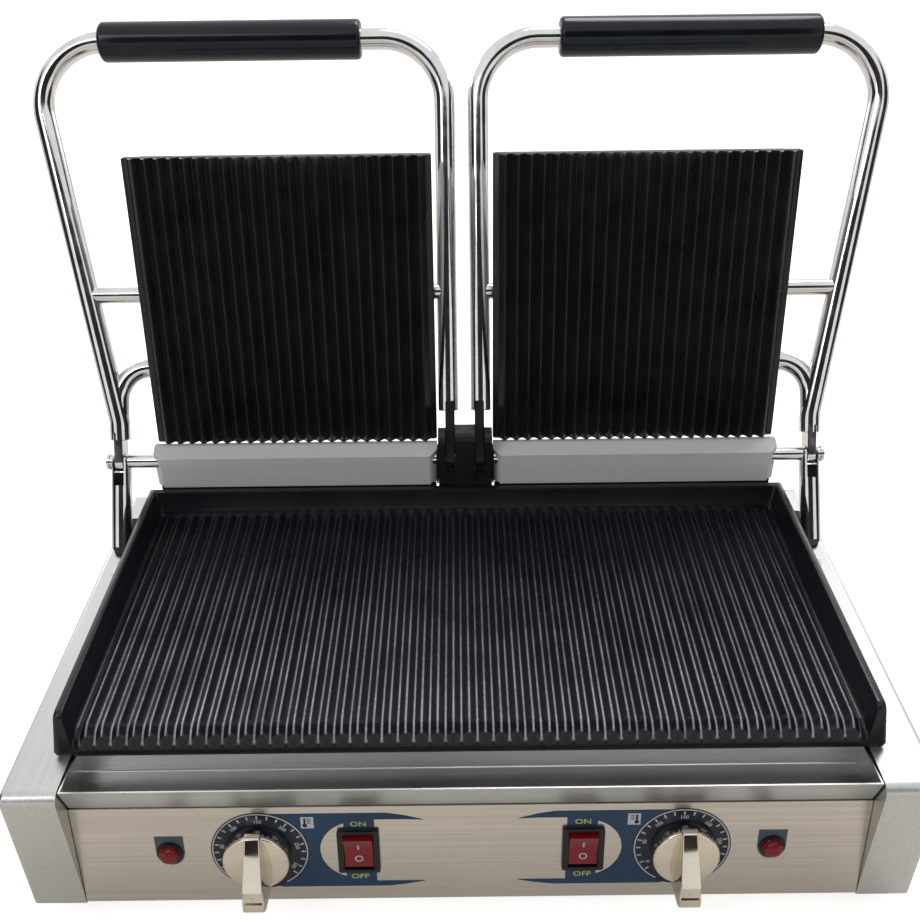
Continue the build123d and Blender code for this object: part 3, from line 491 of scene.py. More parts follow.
# The lower plate's painted highlights: a bright colour on the crest and valley lines, fading towards the
# back.
ironHighlightLook = {
    "dark": (0.006, 0.007, 0.010),
    "light": (0.012, 0.013, 0.017),
    "bare": (0.66, 0.68, 0.74),
    "gloss": (0.22, 0.34),
    "specular": 0.35, "markSize": 28.0, "grainSize": 1100.0,
    "grain": 0.25, "grainDepth": 0.0002,
    "crestRise": (-0.6, -0.1),
    "crestFall": (0.1, 0.4),
    "valleyRise": (-0.5, -0.1),
    "valleyFall": (0.1, 0.55),
    "sideInset": 0.7, "sideBlend": 0.8,
    "edgeRise": (1.2, 2.2),
    "fade": 170.0, "far": 0.06, "patchLow": 0.45,
    "grainLow": 0.55,
}
finish = {name: steelMaterial(name, *look, **more) for name, (*look, more) in steelLooks.items()}
finish.update({name: plainMaterial(name, *look, **more) for name, (*look, more) in plainLooks.items()})
finish["castIronWorn"] = highlitIronMaterial("castIronWorn", ironHighlightLook, lowerPlate)
print("materials:", len(finish))

finishNodes = {
    "steelBack": ("side_box",),
    "steelAcross": ("control_panel",),
    "steelTray": ("drip_tray",),
    "steelLid": ("base_pan", "rear_deck", "heat_shield", "lid_housing"),
    "satinCover": ("hinge_cover",),
    "chrome": ("handle_frame", "axle", "hinge_post", "deck_bolts"),
    "knobChrome": ("knob",),
    "zincPlate": ("heater_clamps", "knob_shaft", "thermostat"),
    "castIron": ("lower_plate", "upper_plate"),
    "blackPaint": ("centre_hinge_bracket",),
    "gripPlastic": ("grip",),
    "blackPlastic": ("switch_frame", "terminal_block", "cable_gland", "lamp_body"),
    "redPlastic": ("rocker",),
    "redLens": ("lamp_lens",),
    "footRubber": ("feet", "post_gasket"),
    "woolBoard": ("lower_insulation", "upper_insulation"),
    "elementTube": ("lower_heater", "upper_heater"),
}
nodeFinish = {node: look for look, group in finishNodes.items() for node in group}
for name, node in nodes.items():
    plain = name.replace("left_", "").replace("right_", "")
    node.data.materials.clear()
    node.data.materials.append(finish[nodeFinish[plain]])
print("every node has its finish")


# Rib height across the plate: a triangle wave with rounded crests and valleys, the arcsine of a
# slightly shortened cosine. Steps are closer at crest and valley.
def ribProfile(count, pitch, height, sharp=0.975):
    share = np.array([-0.5, -0.47, -0.43, -0.25, -0.08, -0.035, 0, 0.035, 0.08, 0.25, 0.43, 0.47])
    wave = (np.arcsin(sharp * np.cos(2 * np.pi * share)) / np.arcsin(sharp) + 1) / 2
    centres = (np.arange(count) - (count - 1) / 2) * pitch
    x = (centres[:, None] + share[None] * pitch).ravel()
    return np.append(x, -x[0]), np.append(np.tile(wave, count), wave[0]) * height


# The left rim's outline, from the foot up the drafted outer wall, over the rounded top and down the
# inner wall to the floor.
def rimOutline(p, top, floor):
    half = p["width"] / 2
    inner = half - p["rimThick"]
    (filletIn, filletRise), (floorIn, floorRise) = p["rimFillet"]
    low = min(floor + filletRise, top)
    foot = [(half + p["draft"] * share, rise) for share, rise in p["rimFoot"]]
    crown = [(half + out, top - drop) for out, drop in p["rimCrown"]]
    lip = [(inner + out, max(top - drop, low)) for out, drop in p["rimLip"]]
    return np.array(foot + crown + lip + [(inner + filletIn, low), (inner + floorIn, floor + floorRise)])


# The casting is one closed skin: at each station from front to back a loop runs along the underside,
# over one rim, across all the ribs, and over the other rim. At the front the floor falls away and the
# ribs run out to their tips. At the back the floor climbs into the rear rim.
def lowerPlateGrid(p):
    ribX, ribZ = ribProfile(p["ribs"], p["pitch"], p["ribHeight"])
    half, depth, nose = p["width"] / 2, p["depth"], p["noseRadius"]
    rear = depth - p["rimThick"]
    wallY = rear - np.array(p["wallBefore"])
    edgeY = depth - np.array(p["edgeBefore"])
    tipY = p["tipStart"] + p["tipRun"] * np.array([0, 0.5, 1])
    noseY = nose * (1 - np.cos(np.linspace(0, np.pi / 2, 8)))
    fallY = np.linspace(0, p["frontFall"], 9)
    y = np.unique(np.concatenate([
        tipY, noseY, fallY, p["middleStations"], rear - np.array(p["tailStations"]), wallY, edgeY,
    ]))
    tip = np.clip((y - p["tipStart"]) / p["tipRun"], 0, 1)
    tail = np.clip((wallY[0] - y) / p["tailRun"], 0, 1)
    fall = np.clip(1 - y / p["frontFall"], 0, 1) ** 2
    floor = valleyRise - frontDrop * fall
    rimTop = p["rim"] - (nose - np.sqrt(np.clip(nose ** 2 - np.clip(nose - y, 0, nose) ** 2, 0, None)))
    rimTop -= np.interp(y, edgeY, p["edgeDrop"])
    wall = np.interp(y, wallY, p["wallRise"])
    floor = np.minimum(floor + wall * (p["rim"] - floor), rimTop)
    under = np.stack([np.linspace(half, -half, 5), np.zeros(5)], -1)
    rows = []
    for yy, f, top, rib in zip(y, floor, rimTop, np.minimum(tip, tail) * (1 - wall)):
        rim = rimOutline(p, top, f)
        ribs = np.stack([ribX, f + ribZ * rib], -1)
        loop = np.concatenate([under, rim * (-1, 1), ribs, rim[::-1]])
        rows.append(np.stack([loop[:, 0], np.full(len(loop), front + p["back"] + yy), deck + loop[:, 1]], -1))
    return np.stack(rows), False, True, True


upperPlate = {
    "slab": 9.0, "ribHeight": 5.5, "pitch": 8.9,
    "ribs": 23, "edge": 0.8, "edgeDepth": 7.0,
    "stations": (-1, -0.994, -0.5, 0, 0.5, 0.994, 1),
}


# A ribbed slab: the same loop at each station up the plate, drawn in by a small edge at both ends.
def upperPlateGrid(p):
    ribX, ribZ = ribProfile(p["ribs"], p["pitch"], p["ribHeight"])
    half, edge = plateHalf, p["edge"]
    top = -p["ribHeight"]
    back = top - p["slab"]
    underside = [(half - edge, back), (-half + edge, back)]
    left = [(-half, back + edge), (-half, top - edge), (-half + edge, top)]
    right = [(half - edge, top), (half, top - edge), (half, back + edge)]
    loop = np.concatenate([underside, left, np.stack([ribX, top + ribZ], -1), right])
    stations = np.array(p["stations"])
    inward = np.where(abs(stations) == 1, edge, 0)
    middle = np.array([0, top - p["slab"] / 2])
    drawn = middle + (loop - middle) * (1 - inward[:, None, None] / np.array([half, p["edgeDepth"]]))
    up = stations * machine["upperDepth"] / 2
    return onFace(drawn[..., 0], up[:, None], drawn[..., 1]), False, True, True


addPiece("lowerPlate", [lowerPlateGrid(lowerPlate)], "castIronWorn", "base", 50, "lower_plate")
addPair("UpperPlate", [upperPlateGrid(upperPlate)], "castIron", "press", 50, "upper_plate")
print("cooking plates")


handle = {
    "tube": 7.5, "bend": 45.0, "foot": 261.0,
    "top": 316.5, "inner": 12.2, "start": 16.5,
    "knee": 14.0, "kneeBend": 30.0, "innerFoot": 36.0,
    "lugReach": 43.5, "lugStart": 14.6, "lugWidth": 7.0,
    "hubRadius": 7.4, "hubWidth": 6.6, "hubLap": 6.0,
    "conduit": 7.0, "conduitBend": 24.0, "conduitBack": 310.0,
    "conduitRise": 112.0, "conduitLap": 3.0, "pin": 6.0,
    "pinLap": 9.0,
}
armAngle = np.arctan2(gripY - hingeY, gripZ - hingeZ)
armUp = np.array([0, np.sin(armAngle), np.cos(armAngle)])
armSide = np.cross(armUp, [1, 0, 0])


def alongArm(distance, x):
    return np.array([x, hingeY, hingeZ]) + armUp * distance


# The frame's tube, the wiring conduit that leaves it at the knee, and two swivel pins.
def handleGrids(p):
    foot = alongArm(p["start"], -p["foot"])
    knee = alongArm(p["start"] + p["knee"], -p["foot"])
    outerTop = np.array([-p["top"], gripY, gripZ])
    innerTop = np.array([-p["inner"], gripY, gripZ])
    innerEnd = alongArm(p["innerFoot"], -p["inner"])
    path = bentPath([foot, knee, outerTop, innerTop, innerEnd], [p["kneeBend"], p["bend"], p["bend"]], 24)
    bendAt = np.array([-p["foot"], front + p["conduitBack"], deck + p["conduitRise"]])
    entry = np.array([-lidEdge + p["conduitLap"], bendAt[1], bendAt[2]])
    wire = bentPath([knee, bendAt, entry], [p["conduitBend"]], 20)
    wireNormal = unit(np.cross(bendAt - knee, entry - bendAt))
    grids = [tubeGrid(path, p["tube"], armSide, 36), tubeGrid(wire, p["conduit"], wireNormal, 32)]
    share = (pivotZ - hingeZ) / (gripZ - hingeZ)
    armX = p["foot"] + (p["top"] - p["foot"]) * share
    innerEdge = lidCentre - plateHalf
    for a, b in ((-armX, -lidEdge + p["pinLap"]), (-p["inner"], -innerEdge - p["pinLap"])):
        run = np.array([[x, pivotY, pivotZ] for x in (a, (a + b) / 2, b)])
        grids.append(tubeGrid(run, p["pin"], [0, 0, 1], 28))
    return grids


# Hub and eye lug: a bar, round at the axle end, with a small bevel at both faces.
def lugGrid(x, width, radius, reach, sides=20, bevel=0.5, drawn=0.93):
    t = np.linspace(np.pi / 2, 3 * np.pi / 2, sides)
    end = np.stack([np.cos(t), np.sin(t)], -1) * radius
    outline = np.concatenate([[(reach, -radius)], [(reach, radius)], end])
    stations = np.array([0, 0, bevel, width - bevel, width, width])
    scale = np.array([0, drawn, 1, 1, drawn, 0])
    middle = np.array([reach / 2, 0])
    flat = middle + (outline[None] - middle) * scale[:, None, None]
    axle = alongArm(0, x)
    return surfacePlace(axle, armUp, armSide, stations[:, None], flat[..., 0], flat[..., 1]), False, True


hub = lugGrid(-handle["foot"] - handle["hubWidth"] / 2, handle["hubWidth"], handle["hubRadius"],
              handle["start"] + handle["hubLap"])
lug = lugGrid(-handle["lugStart"], handle["lugWidth"], handle["tube"], handle["lugReach"])
addPair("HandleTube", handleGrids(handle) + [hub], "chrome", "lid", 40, "handle_frame")
addPair("HandleLug", [lug], "blackPaint", "lid", 40)
print("handle frames")


# Small fittings at the hinge. Heights are from the axle, depths from the axle or the post's middle.
hingeFit = {
    "webHalf": 20.0, "webDepth": 8.6, "webFoot": 5.8,
    "webTop": -8.3, "slitHalf": 3.6, "slitFrom": 8.2,
    "slitTo": 18.5, "slitFront": 3.5, "slitBack": 7.3,
    "hemFront": -6.4, "hemBack": -4.6, "hemTop": -18.6,
    "hemBottom": -21.8, "hemEnd": 1.8, "hemInner": 22.0,
    "endOuter": 21.7, "endInner": 20.4, "endFront": -6.6,
    "endBack": 6.0, "endTop": 8.5,
}


def boxGrid(near, far, low, high, start, end):
    return prismGrid([(near, low), (far, low), (far, high), (near, high)], start, end)


# The casting's web fills the space under both lugs.
def webGrid(p):
    low, high = deck + p["webFoot"], hingeZ + p["webTop"]
    return boxGrid(hingeY - p["webDepth"], hingeY + p["webDepth"], low, high, -p["webHalf"], p["webHalf"])


# A narrow web closes the rear of the slit in the post, clear of the hub that turns in it.
def slitGrid(p):
    down = unit(np.array([-machine["postRun"], deck - hingeZ]))
    rear = np.array([-down[1], down[0]])
    start, end, near, far = (p[key] for key in ("slitFrom", "slitTo", "slitFront", "slitBack"))
    spots = ((start, near), (end, near), (end, far), (start, far))
    outline = [np.array([hingeY, hingeZ]) + down * t + rear * o for t, o in spots]
    return prismGrid(outline, -handle["foot"] - p["slitHalf"], -handle["foot"] + p["slitHalf"])


# A dark strip along the lower edge of the hinge cover's front wall, and a dark plate between the
# cover's end and the bracket's ear.
def coverGrids(p):
    near, far = hingeY + p["hemFront"], hingeY + p["hemBack"]
    low, high = hingeZ + p["hemBottom"], hingeZ + p["hemTop"]
    strip = boxGrid(near, far, low, high, -lidEdge + p["hemEnd"], -p["hemInner"])
    near, far = hingeY + p["endFront"], hingeY + p["endBack"]
    return [strip, boxGrid(near, far, high, hingeZ + p["endTop"], -p["endOuter"], -p["endInner"])]


addPiece("hingeWeb", [webGrid(hingeFit)], "blackPaint", "base", 30)
addPair("PostWeb", [slitGrid(hingeFit)], "blackPaint", "base", 30)
addPair("CoverHem", coverGrids(hingeFit), "blackPaint", "lid", 30)
print("hinge fittings")


grip = {"centre": 167.35, "length": 190.0, "radius": 14.0, "bore": 7.55, "edge": 3.2}


# A turned sleeve: an outer wall with rounded ends, flat end faces and an inner wall.
def gripGrid(p):
    half, edge, radius, bore = p["length"] / 2, p["edge"], p["radius"], p["bore"]
    k = np.linspace(0, np.pi / 2, 8)
    end = np.stack([half - edge + edge * np.cos(k), radius - edge + edge * np.sin(k)], -1)
    wall = np.stack([np.linspace(half - edge, -half + edge, 14)[1:-1], np.full(12, radius)], -1)
    profile = np.concatenate([[(half, bore)], end, wall, end[::-1] * (-1, 1), [(-half, bore), (half, bore)]])
    return turnedGrid(profile, (-p["centre"], gripY, gripZ), (1, 0, 0), 56)


addPair("Grip", [gripGrid(grip)], "gripPlastic", "lid", 40, "grip")
print("grips")


# The bar's stations run from its high end on the panel (1) to its low end (-1), each with how far the
# top lies under the straight ramp: a rounded start, a sunk facet and a steep end.
knob = {
    "x": 127.0, "drum": 19.8, "drumHeight": 10.5,
    "drumGap": 0.3,
    "footBevel": (0.5, 0.4),
    "shoulder": 1.6, "barLength": 45.0, "barFoot": 3.5, "footFrom": 0.7, "footSteep": 4, "footSunk": 1,
    "low": 13.5, "high": 27.0, "narrow": 4.2,
    "wide": 6.4, "endDraw": 0.9, "corner": 1.3,
    "draft": 0.10, "rampRun": 1.26, "widthRun": 1.7,
    "stations": (1, 0.985, 0.95, 0.5, 0, -0.22, -0.26, -0.28, -0.62, -0.66, -0.70, -0.92, -0.975, -1.0),
    "drops": (1.5, 0.4, 0, 0, 0, 0, 0, 0.9, 0.9, 0, 0, 0.3, 2.0, 6.0),
    "dot": 1.2, "dotRise": 0.5, "dotSunk": 1.0,
    "dotShare": 0.225,
}


# The drum is turned, with a rounded shoulder. The bar is a rounded trapezoid carried along its
# length: it climbs in a straight ramp while it widens, and past the drum its foot drops.
def knobGrids(p):
    k = np.linspace(0, np.pi / 2, 7)
    r, gap = p["shoulder"], p["drumGap"]
    bevelRise, bevelIn = p["footBevel"]
    shoulder = np.stack([p["drumHeight"] - r + r * np.sin(k), p["drum"] - r + r * np.cos(k)], -1)
    foot = [(gap, 0), (gap, p["drum"] - bevelIn), (gap + bevelRise, p["drum"])]
    centre = onPanel(-p["x"], controlUp)
    drum = turnedGrid(np.concatenate([foot, shoulder, [(p["drumHeight"], 0)]]), centre, panelOut, 64)
    half = p["barLength"] / 2
    along = np.array(p["stations"]) * half
    ramp = np.clip((half - along) / (p["rampRun"] * half), 0, 1)
    height = p["low"] + (p["high"] - p["low"]) * ramp - np.array(p["drops"])
    width = p["narrow"] + (p["wide"] - p["narrow"]) * np.clip((half - along) / (p["widthRun"] * half), 0, 1)
    width[[0, -1]] -= p["endDraw"]
    t = np.linspace(0, np.pi / 2, 5)
    corner = p["corner"]
    inward = (1 - np.cos(t)) * corner / p["wide"]
    across = np.concatenate([[-1.0], -1 + inward, 1 - inward[::-1], [1.0]])
    drop = np.concatenate([[-1], corner * (1 - np.sin(t)), corner * (1 - np.sin(t[::-1])), [-1]])
    overDrum = np.clip((along / half - p["footFrom"]) * p["footSteep"], 0, 1)
    barFoot = p["barFoot"] + (p["drumHeight"] - p["footSunk"] - p["barFoot"]) * overDrum
    out = np.where(drop < 0, barFoot[:, None], height[:, None] - drop)
    draft = 1 + p["draft"] * (1 - (out - p["barFoot"]) / p["high"])
    bar = onPanel(width[:, None] * across * draft - p["x"], controlUp + along[:, None], out)
    return [drum, (bar, False, True, True)]


# A small raised dot on the bar's facet shows where the knob points.
def knobDot(p):
    k = np.linspace(0, np.pi / 2, 5)
    top = p["high"] - p["dotSunk"]
    dome = np.stack([top + p["dotRise"] * np.sin(k), p["dot"] * np.cos(k)], -1)
    spot = onPanel(-p["x"], controlUp - p["barLength"] * p["dotShare"])
    return [turnedGrid(np.concatenate([[(top, 0)], dome]), spot, panelOut, 20)]


addPair("Dial", knobGrids(knob), "knobChrome", "dial", 40, "knob")
addPair("DialDot", knobDot(knob), "zincPlate", "dial", 50)
print("knobs")


# Printed films on the panel's left half, placed across (x is negative) and up the panel. The right
# half mirrors the shapes, and its words are set again so that they read.
film = {
    "dialX": -126.0, "dialUp": 39.0, "dialRadius": 29.4,
    "edgeOuter": 0.7, "edgeInner": 1.5,
    "edgeTurn": (-60, 240),
    "fieldTop": 67.5, "fieldBottom": 10.3, "armTop": 62.5,
    "armBottom": 14.3, "fieldStart": -134.0, "armSplit": -50.0,
    "tip": -27.6, "tipCurve": 1.4, "tipOver": 0.5, "tipUnder": 0.1, "ringJoin": 12.0,
    "ringLap": 0.5, "bayX": -68.0, "bayRadius": 22.0,
    "bayEdge": -75.3, "labelEnd": -57.0, "labelTop": 55.6,
    "labelBottom": 22.0, "tickHalf": 0.5, "tickInner": 24.6,
    "tickOuter": 27.2,
    "tickTurns": (-40, 221, 13),
    "figures": ("300", "250", "200", "150", "100", "50", "0"),
    "figureTurns": (-30, 210),
    "figureRadius": 22.6, "figureSize": 3.4, "figureBold": 0.06,
    "labelSize": 5.0, "labelBold": 0.09, "labelStretch": 1.25,
    "labels": (("ON", 66.5, 59.1), ("OFF", 67.1, 18.2)),
}
# How far each printed layer stands out of the panel.
layer = {"field": 0.12, "ring": 0.16, "mark": 0.2, "tick": 0.24, "icon": 0.26}
icon = {
    "left": -100.3, "right": -92.7, "bottom": 56.4,
    "top": 65.0, "stemLeft": -98.6, "stemRight": -97.4,
    "stemTop": 64.0,
    "bulb": (-98.0, 58.6),
    "bulbRadius": 1.4,
    "bars": (60.2, 61.6, 63.0),
    "barLeft": -96.6, "barRight": -94.4, "barHeight": 0.6,
}
shield = {"x": -179.7, "half": 8.6, "round": 8.65, "middle": 39.6, "drop": 10.5, "top": 51.2}


def addFilm(name, grids, look, body="base"):
    addPair(name, grids, look, body, 60, None, False)


# A flat strip between two curves of the same x.
def stripGrid(x, low, high, out):
    return np.stack([onPanel(x, low, out), onPanel(x, high, out)]), False, False


# A flat ring or disc between two radii.
def ringGrid(x, up, inner, outer, out, start=0, end=2 * np.pi, sides=72):
    t = np.linspace(start, end, sides)
    radii = np.array([outer, inner])[:, None]
    return onPanel(x + radii * np.cos(t), up + radii * np.sin(t), out), False, False


# The blue field: from the dial ring to two pointed arms, with a round bay left open round the switch.
def fieldGrids(p):
    bayX, bayRadius, bayEdge, split = p["bayX"], p["bayRadius"], p["bayEdge"], p["armSplit"]
    bayTurn = np.arccos((bayX - bayEdge) / bayRadius)
    x = np.sort(np.concatenate([
        np.linspace(p["fieldStart"], bayX - bayRadius, 12),
        bayX - bayRadius * np.cos(np.linspace(0, bayTurn, 16)),
        [bayEdge + 0.01, p["labelEnd"], p["labelEnd"] + 0.01, split, (split + p["tip"]) / 2, p["tip"]],
    ]))
    tipShare = np.clip((x - split) / (p["tip"] - split), 0, 1) ** p["tipCurve"]
    bay = np.sqrt(np.clip(bayRadius ** 2 - (x - bayX) ** 2, 0, None))
    places = [x <= bayEdge, (x > bayEdge) & (x <= p["labelEnd"])]
    upperLow = np.select(places, [p["dialUp"] + bay, p["labelTop"]], p["armTop"])
    lowerHigh = np.select(places, [p["dialUp"] - bay, p["labelBottom"]], p["armBottom"])
    top = p["fieldTop"] - (p["fieldTop"] - p["armTop"] + p["tipOver"]) * tipShare
    bottom = p["fieldBottom"] + (p["armBottom"] - p["fieldBottom"] - p["tipUnder"]) * tipShare
    ring = np.sqrt(np.clip(p["dialRadius"] ** 2 - (x - p["dialX"]) ** 2, 0, None))
    bottom = np.where(x < p["dialX"] + p["ringJoin"], p["dialUp"] - ring + p["ringLap"], bottom)
    upper = stripGrid(x, np.minimum(upperLow, top), top, layer["field"])
    return [upper, stripGrid(x, bottom, np.maximum(lowerHigh, bottom), layer["field"])]


def wordMesh(name, text, size, bold):
    curve = bpy.data.curves.new(name, "FONT")
    curve.body, curve.size, curve.offset = text, size, bold
    curve.align_x, curve.align_y = "CENTER", "CENTER"
    curve.resolution_u = 4
    holder = newObject(name + "Source", curve)
    bpy.context.view_layer.update()
    mesh = bpy.data.meshes.new_from_object(holder)
    bpy.data.objects.remove(holder)
    points = np.empty(len(mesh.vertices) * 3)
    mesh.vertices.foreach_get("co", points)
    return mesh, points.reshape(-1, 3)


# Words set flat on the panel. Each is its text, its middle, its turn and its stretch.
def placeWords(name, words, size, look, bold):
    work = bmesh.new()
    for text, x, up, turn, stretch in words:
        mesh, flat = wordMesh(name, text, size, bold)
        c, s = np.cos(turn), np.sin(turn)
        across = x + (flat[:, 0] * c - flat[:, 1] * s) * stretch
        rise = up + flat[:, 0] * s + flat[:, 1] * c
        mesh.vertices.foreach_set("co", (onPanel(across, rise, layer["mark"]) * mm).ravel())
        work.from_mesh(mesh)
        bpy.data.meshes.remove(mesh)
    mesh = bpy.data.meshes.new(name)
    work.to_mesh(mesh)
    work.free()
    piece = placeMesh(name, mesh, finish[look])
    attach(piece, "base")


# The white scale: a tick at each step round the dial, and a thin arc near the ring's edge.
def scaleGrids(p):
    grids = []
    across = np.array([-p["tickHalf"], p["tickHalf"]])[:, None]
    r = np.array([p["tickInner"], p["tickOuter"]])[None]
    for a in np.radians(np.arange(*p["tickTurns"])):
        x = p["dialX"] + r * np.cos(a) - across * np.sin(a)
        up = p["dialUp"] + r * np.sin(a) + across * np.cos(a)
        grids.append((onPanel(x, up, layer["tick"]), False, False))
    inner, outer = p["dialRadius"] - p["edgeInner"], p["dialRadius"] - p["edgeOuter"]
    arc = ringGrid(p["dialX"], p["dialUp"], inner, outer, layer["mark"], *np.radians(p["edgeTurn"]))
    return grids + [arc]


# The grey shield behind the lamp: flat on top, half an ellipse below.
def shieldGrids(p):
    x = np.linspace(-p["half"], p["half"], 21)
    low = p["middle"] - p["drop"] * np.sqrt(np.clip(1 - (x / p["round"]) ** 2, 0, 1))
    return [stripGrid(p["x"] + x, low, p["top"], layer["field"])]


# The pale square by the dial, and on it a thermometer drawn as a stem, a bulb and three bars.
def cardGrids(p):
    return [stripGrid([p["left"], p["right"]], p["bottom"], p["top"], layer["mark"])]


def thermometerGrids(p):
    x, up = p["bulb"]
    stem = stripGrid([p["stemLeft"], p["stemRight"]], up, p["stemTop"], layer["icon"])
    ends = [p["barLeft"], p["barRight"]]
    bars = [stripGrid(ends, bar, bar + p["barHeight"], layer["icon"]) for bar in p["bars"]]
    return [stem, ringGrid(x, up, 0.0, p["bulbRadius"], layer["icon"], sides=20), *bars]


addFilm("DialFilm", fieldGrids(film), "blueFilm")
disc = ringGrid(film["dialX"], film["dialUp"], 0.0, film["dialRadius"], layer["ring"])
addFilm("DialRing", [disc], "navyFilm")
addFilm("DialScale", scaleGrids(film), "whiteFilm")
addFilm("IconCard", cardGrids(icon), "whiteFilm")
addFilm("IconMark", thermometerGrids(icon), "navyFilm")
addFilm("LampShield", shieldGrids(shield), "greyFilm")
figureTurn = np.radians(np.linspace(*film["figureTurns"], len(film["figures"])))
for side, way in sides:
    r = film["figureRadius"]
    figures = [(text, way * film["dialX"] + r * np.cos(a), film["dialUp"] + r * np.sin(a), a - np.pi / 2, 1.0)
               for text, a in zip(film["figures"], figureTurn)]
    placeWords(side + "DialFigures", figures, film["figureSize"], "whiteFilm", film["figureBold"])
    labels = [(text, -way * x, up, 0.0, film["labelStretch"]) for text, x, up in film["labels"]]
    placeWords(side + "SwitchWords", labels, film["labelSize"], "limeFilm", film["labelBold"])
print("panel films")


rocker = {
    "x": 67.0, "reach": 11.5, "low": 1.7,
    "middle": 1.8, "high": 5.0, "ringUp": -5.2,
    "ring": 2.5, "ringWidth": 0.8, "barHalf": 0.45,
    "barFrom": 2.6, "barTo": 7.6, "rise": 0.25,
}


# Height of the rocker's face: the parabola through its low end, middle and high end.
def rockerFace(up):
    p = rocker
    bend = (p["high"] + p["low"] - 2 * p["middle"]) / 2 / p["reach"] ** 2
    return p["middle"] + (p["high"] - p["low"]) / 2 / p["reach"] * up + bend * up ** 2


# A ring and a bar lie on the rocker's face.
def rockerMarks(p):
    t = np.linspace(0, 2 * np.pi, 33)
    r = np.array([p["ring"], p["ring"] - p["ringWidth"]])[:, None]
    up = p["ringUp"] + r * np.sin(t)
    ring = onPanel(-p["x"] + r * np.cos(t), controlUp + up, rockerFace(up) + p["rise"])
    x = np.array([-p["barHalf"], p["barHalf"]])[:, None]
    up = np.linspace(p["barFrom"], p["barTo"], 6)
    bar = onPanel(-p["x"] + x, controlUp + up, rockerFace(up) + p["rise"])
    return [(ring, False, False), (bar, False, False)]


addFilm("RockerMarks", rockerMarks(rocker), "whiteFilm", "switch")


lamp = {
    "x": 180.0, "radius": 6.0, "height": 4.9,
    "seat": 1.5, "skirt": 0.8, "crown": 0.25,
    "flutes": 12, "pinch": 0.035, "fluteFrom": 0.05,
}


# The lens is a dome turned round its axis, its side pinched in at twelve flutes.
def lensGrid(p):
    k = np.linspace(0, np.pi / 2, 9)[1:]
    level = np.concatenate([[0, 0, p["skirt"]], p["skirt"] + (p["height"] - p["skirt"]) * np.sin(k)])
    dome = p["radius"] * (p["crown"] + (1 - p["crown"]) * np.cos(k))
    radius = np.concatenate([[0, p["radius"], p["radius"]], dome])
    radius[-1] = 0
    t = np.linspace(0, 2 * np.pi, 97)[:-1]
    side = (np.sin(np.pi * np.clip(level / p["height"], 0, 1)) > p["fluteFrom"])[:, None]
    r = radius[:, None] * (1 - p["pinch"] * (1 + np.cos(p["flutes"] * t)) * side)
    points = onPanel(-p["x"] + r * np.cos(t), controlUp + r * np.sin(t), p["seat"] + level[:, None])
    return points, False, True


addPair("LampLens", [lensGrid(lamp)], "redLens", "base", 45, "lamp_lens")
print("switches and lamps")


# The camera was fitted to the photo's corners. Its place is in millimetres from the panel's foot,
# its height from the bottom of the base. Lights and cards are in metres.
studio = {
    "lens": 40.39, "sensor": 36.0, "pitch": 32.778, "yaw": -0.07,
    "roll": -0.722,
    "place": (-3.12, -387.36, 569.87),
    "footHeight": 18.0,
    "clip": (0.01, 60.0),
    "floorColour": (0.84, 0.77, 0.68),
    "floorGrain": 120.0, "floorMarks": 2.0, "floorRough": 0.9,
    "floorGlow": 0.8, "mirroredGlow": 0.2, "skyDiffuse": 0.55,
    "skySeen": 1.0,
}
# Each light: place, what it faces, width and height, watts.
lights = {
    "keyLight": ((0.4, 0.9, 1.8), (0, 0, 0.15), (0.9, 0.7), 15),
    "frontLight": ((-1.0, -1.6, 1.9), (0, 0, 0.15), (1.4, 0.8), 13),
    "backLeft": ((-1.25, 1.6, 0.85), (0, -0.1, 0.12), (0.5, 0.6), 3),
    "backRight": ((1.25, 1.6, 0.85), (0, -0.1, 0.12), (0.5, 0.6), 3),
}
# Each card: place, what it faces, width and height.
cards = {
    "flagLeft": ((-1.7, -0.2, 0.7), (0, 0, 0.25), (1.2, 1.4)),
    "flagRight": ((1.7, -0.2, 0.7), (0, 0, 0.25), (1.2, 1.4)),
    "flagBehindView": ((0.0, -1.7, 1.25), (0, 0, 0.2), (2.2, 1.3)),
}


def buildCamera(p):
    pitch, yaw, roll = np.radians([p["pitch"], p["yaw"], p["roll"]])
    turn = Matrix.Rotation(-yaw, 4, "Z") @ Matrix.Rotation(np.pi / 2 - pitch, 4, "X")
    lens = bpy.data.cameras.new("view")
    lens.lens, lens.sensor_width, lens.sensor_fit = p["lens"], p["sensor"], "HORIZONTAL"
    lens.clip_start, lens.clip_end = p["clip"]
    camera = newObject("view", lens)
    x, y, z = p["place"]
    spot = Vector((x, y + front, z + p["footHeight"])) * mm
    camera.matrix_world = Matrix.Translation(spot) @ turn @ Matrix.Rotation(roll, 4, "Z")
    bpy.context.scene.camera = camera


def faceTowards(place, aim):
    return (Vector(aim) - Vector(place)).to_track_quat("-Z", "Y")


def areaLight(name, place, aim, size, power):
    data = bpy.data.lights.new(name, "AREA")
    data.shape, data.size, data.size_y = "RECTANGLE", *size
    data.energy = power
    light = newObject(name, data)
    light.location = place
    light.rotation_euler = faceTowards(place, aim).to_euler()
    light.visible_camera = False


# A flat card of a given size that faces a point. It is seen only in reflections.
def flagCard(name, place, aim, size):
    x, y = np.meshgrid(np.array([-0.5, 0.5]) * size[0], np.array([-0.5, 0.5]) * size[1], indexing="ij")
    turn = np.array(faceTowards(place, aim).to_matrix())
    points = np.asarray(place) + x[..., None] * turn[:, 0] + y[..., None] * turn[:, 1]
    card = makePiece(name, [(points / mm, False, False)], finish["darkCard"], 30, False)
    card.visible_camera = False


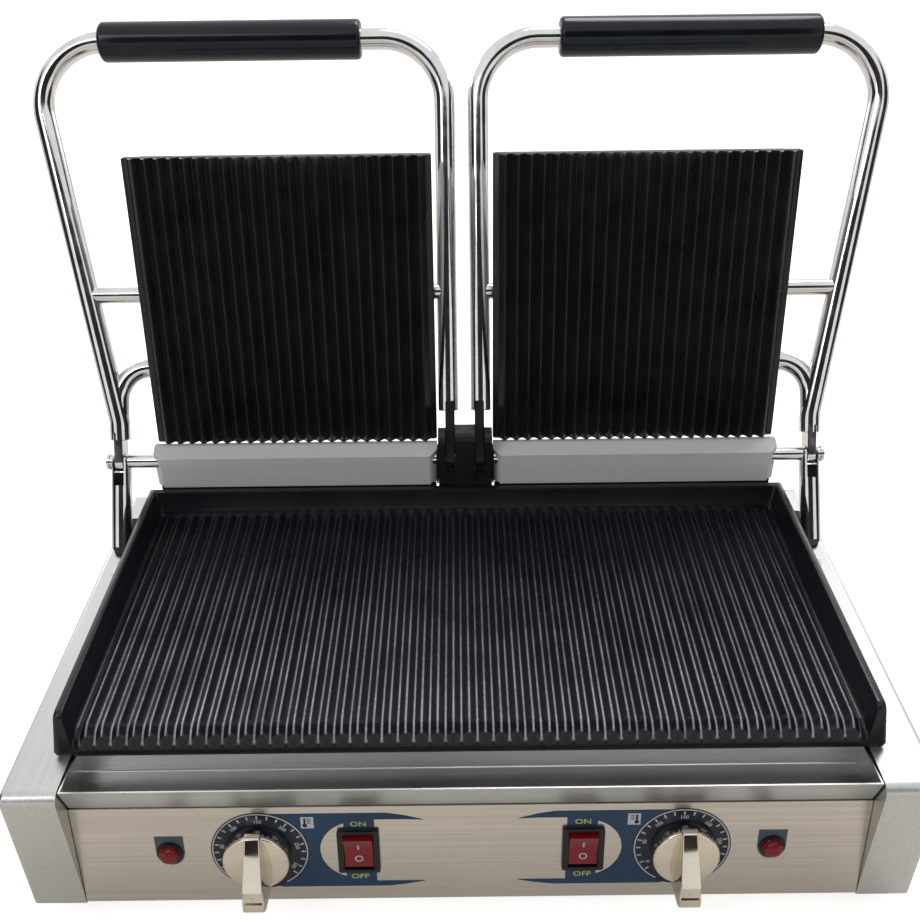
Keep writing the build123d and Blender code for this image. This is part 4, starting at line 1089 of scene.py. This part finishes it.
# Pale paper. Seen by the camera it also glows, so that it shows white and still takes the shadow.
# In a reflection it glows a little.
def plainFloor(p, reach=8.0, tintLow=0.995):
    material, tree, shader = newMaterial("floorPaper")
    colour, glow = p["floorColour"], p["floorGlow"]
    texture = placeGroup(tree, grainGroup, Grain_Size=p["floorGrain"], Mark_Size=p["floorMarks"])
    tint = mixColour(tree, texture.outputs["Marks"], tuple(c * tintLow for c in colour), colour)
    tree.links.new(tint, shader.inputs["Base Color"])
    setInputs(shader, Roughness=p["floorRough"], Emission_Color=(1, 1, 1, 1))
    path = tree.nodes.new("ShaderNodeLightPath").outputs
    direct = rangeNode(tree, path["Is Camera Ray"], 0.0, 1.0, 0.0, glow)
    seenInMirror = mathNode(tree, "MAXIMUM", path["Is Glossy Ray"], path["Is Transmission Ray"])
    faint = rangeNode(tree, seenInMirror, 0.0, 1.0, 0.0, glow * p["mirroredGlow"])
    tree.links.new(mathNode(tree, "MAXIMUM", direct, faint), shader.inputs["Emission Strength"])
    span = np.array([-reach, reach])
    x, y = np.meshgrid(span, span, indexing="ij")
    points = np.stack([x, y, np.zeros_like(x)], -1) / mm
    floor = makePiece("floor", [(points, False, False)], material, 30, False)
    if floor.data.polygons[0].normal.z < 0:
        floor.data.flip_normals()


# A white sky, brighter where the camera sees it, straight on or in a reflection.
def buildWorld(p):
    world = bpy.data.worlds.new("studio")
    world.use_nodes = True
    bpy.context.scene.world = world
    tree = world.node_tree
    background = tree.nodes["Background"]
    path = tree.nodes.new("ShaderNodeLightPath").outputs
    seen = mathNode(tree, "MAXIMUM", path["Is Camera Ray"], path["Is Glossy Ray"])
    seen = mathNode(tree, "MAXIMUM", seen, path["Is Transmission Ray"])
    strength = rangeNode(tree, seen, 0.0, 1.0, p["skyDiffuse"], p["skySeen"])
    tree.links.new(strength, background.inputs["Strength"])
    setInputs(background, Color=(1, 1, 1, 1))


buildCamera(studio)
buildWorld(studio)
plainFloor(studio)
for name, light in lights.items():
    areaLight(name, *light)
for name, card in cards.items():
    flagCard(name, *card)
bpy.context.scene.view_settings.view_transform = "Standard"
print("studio")
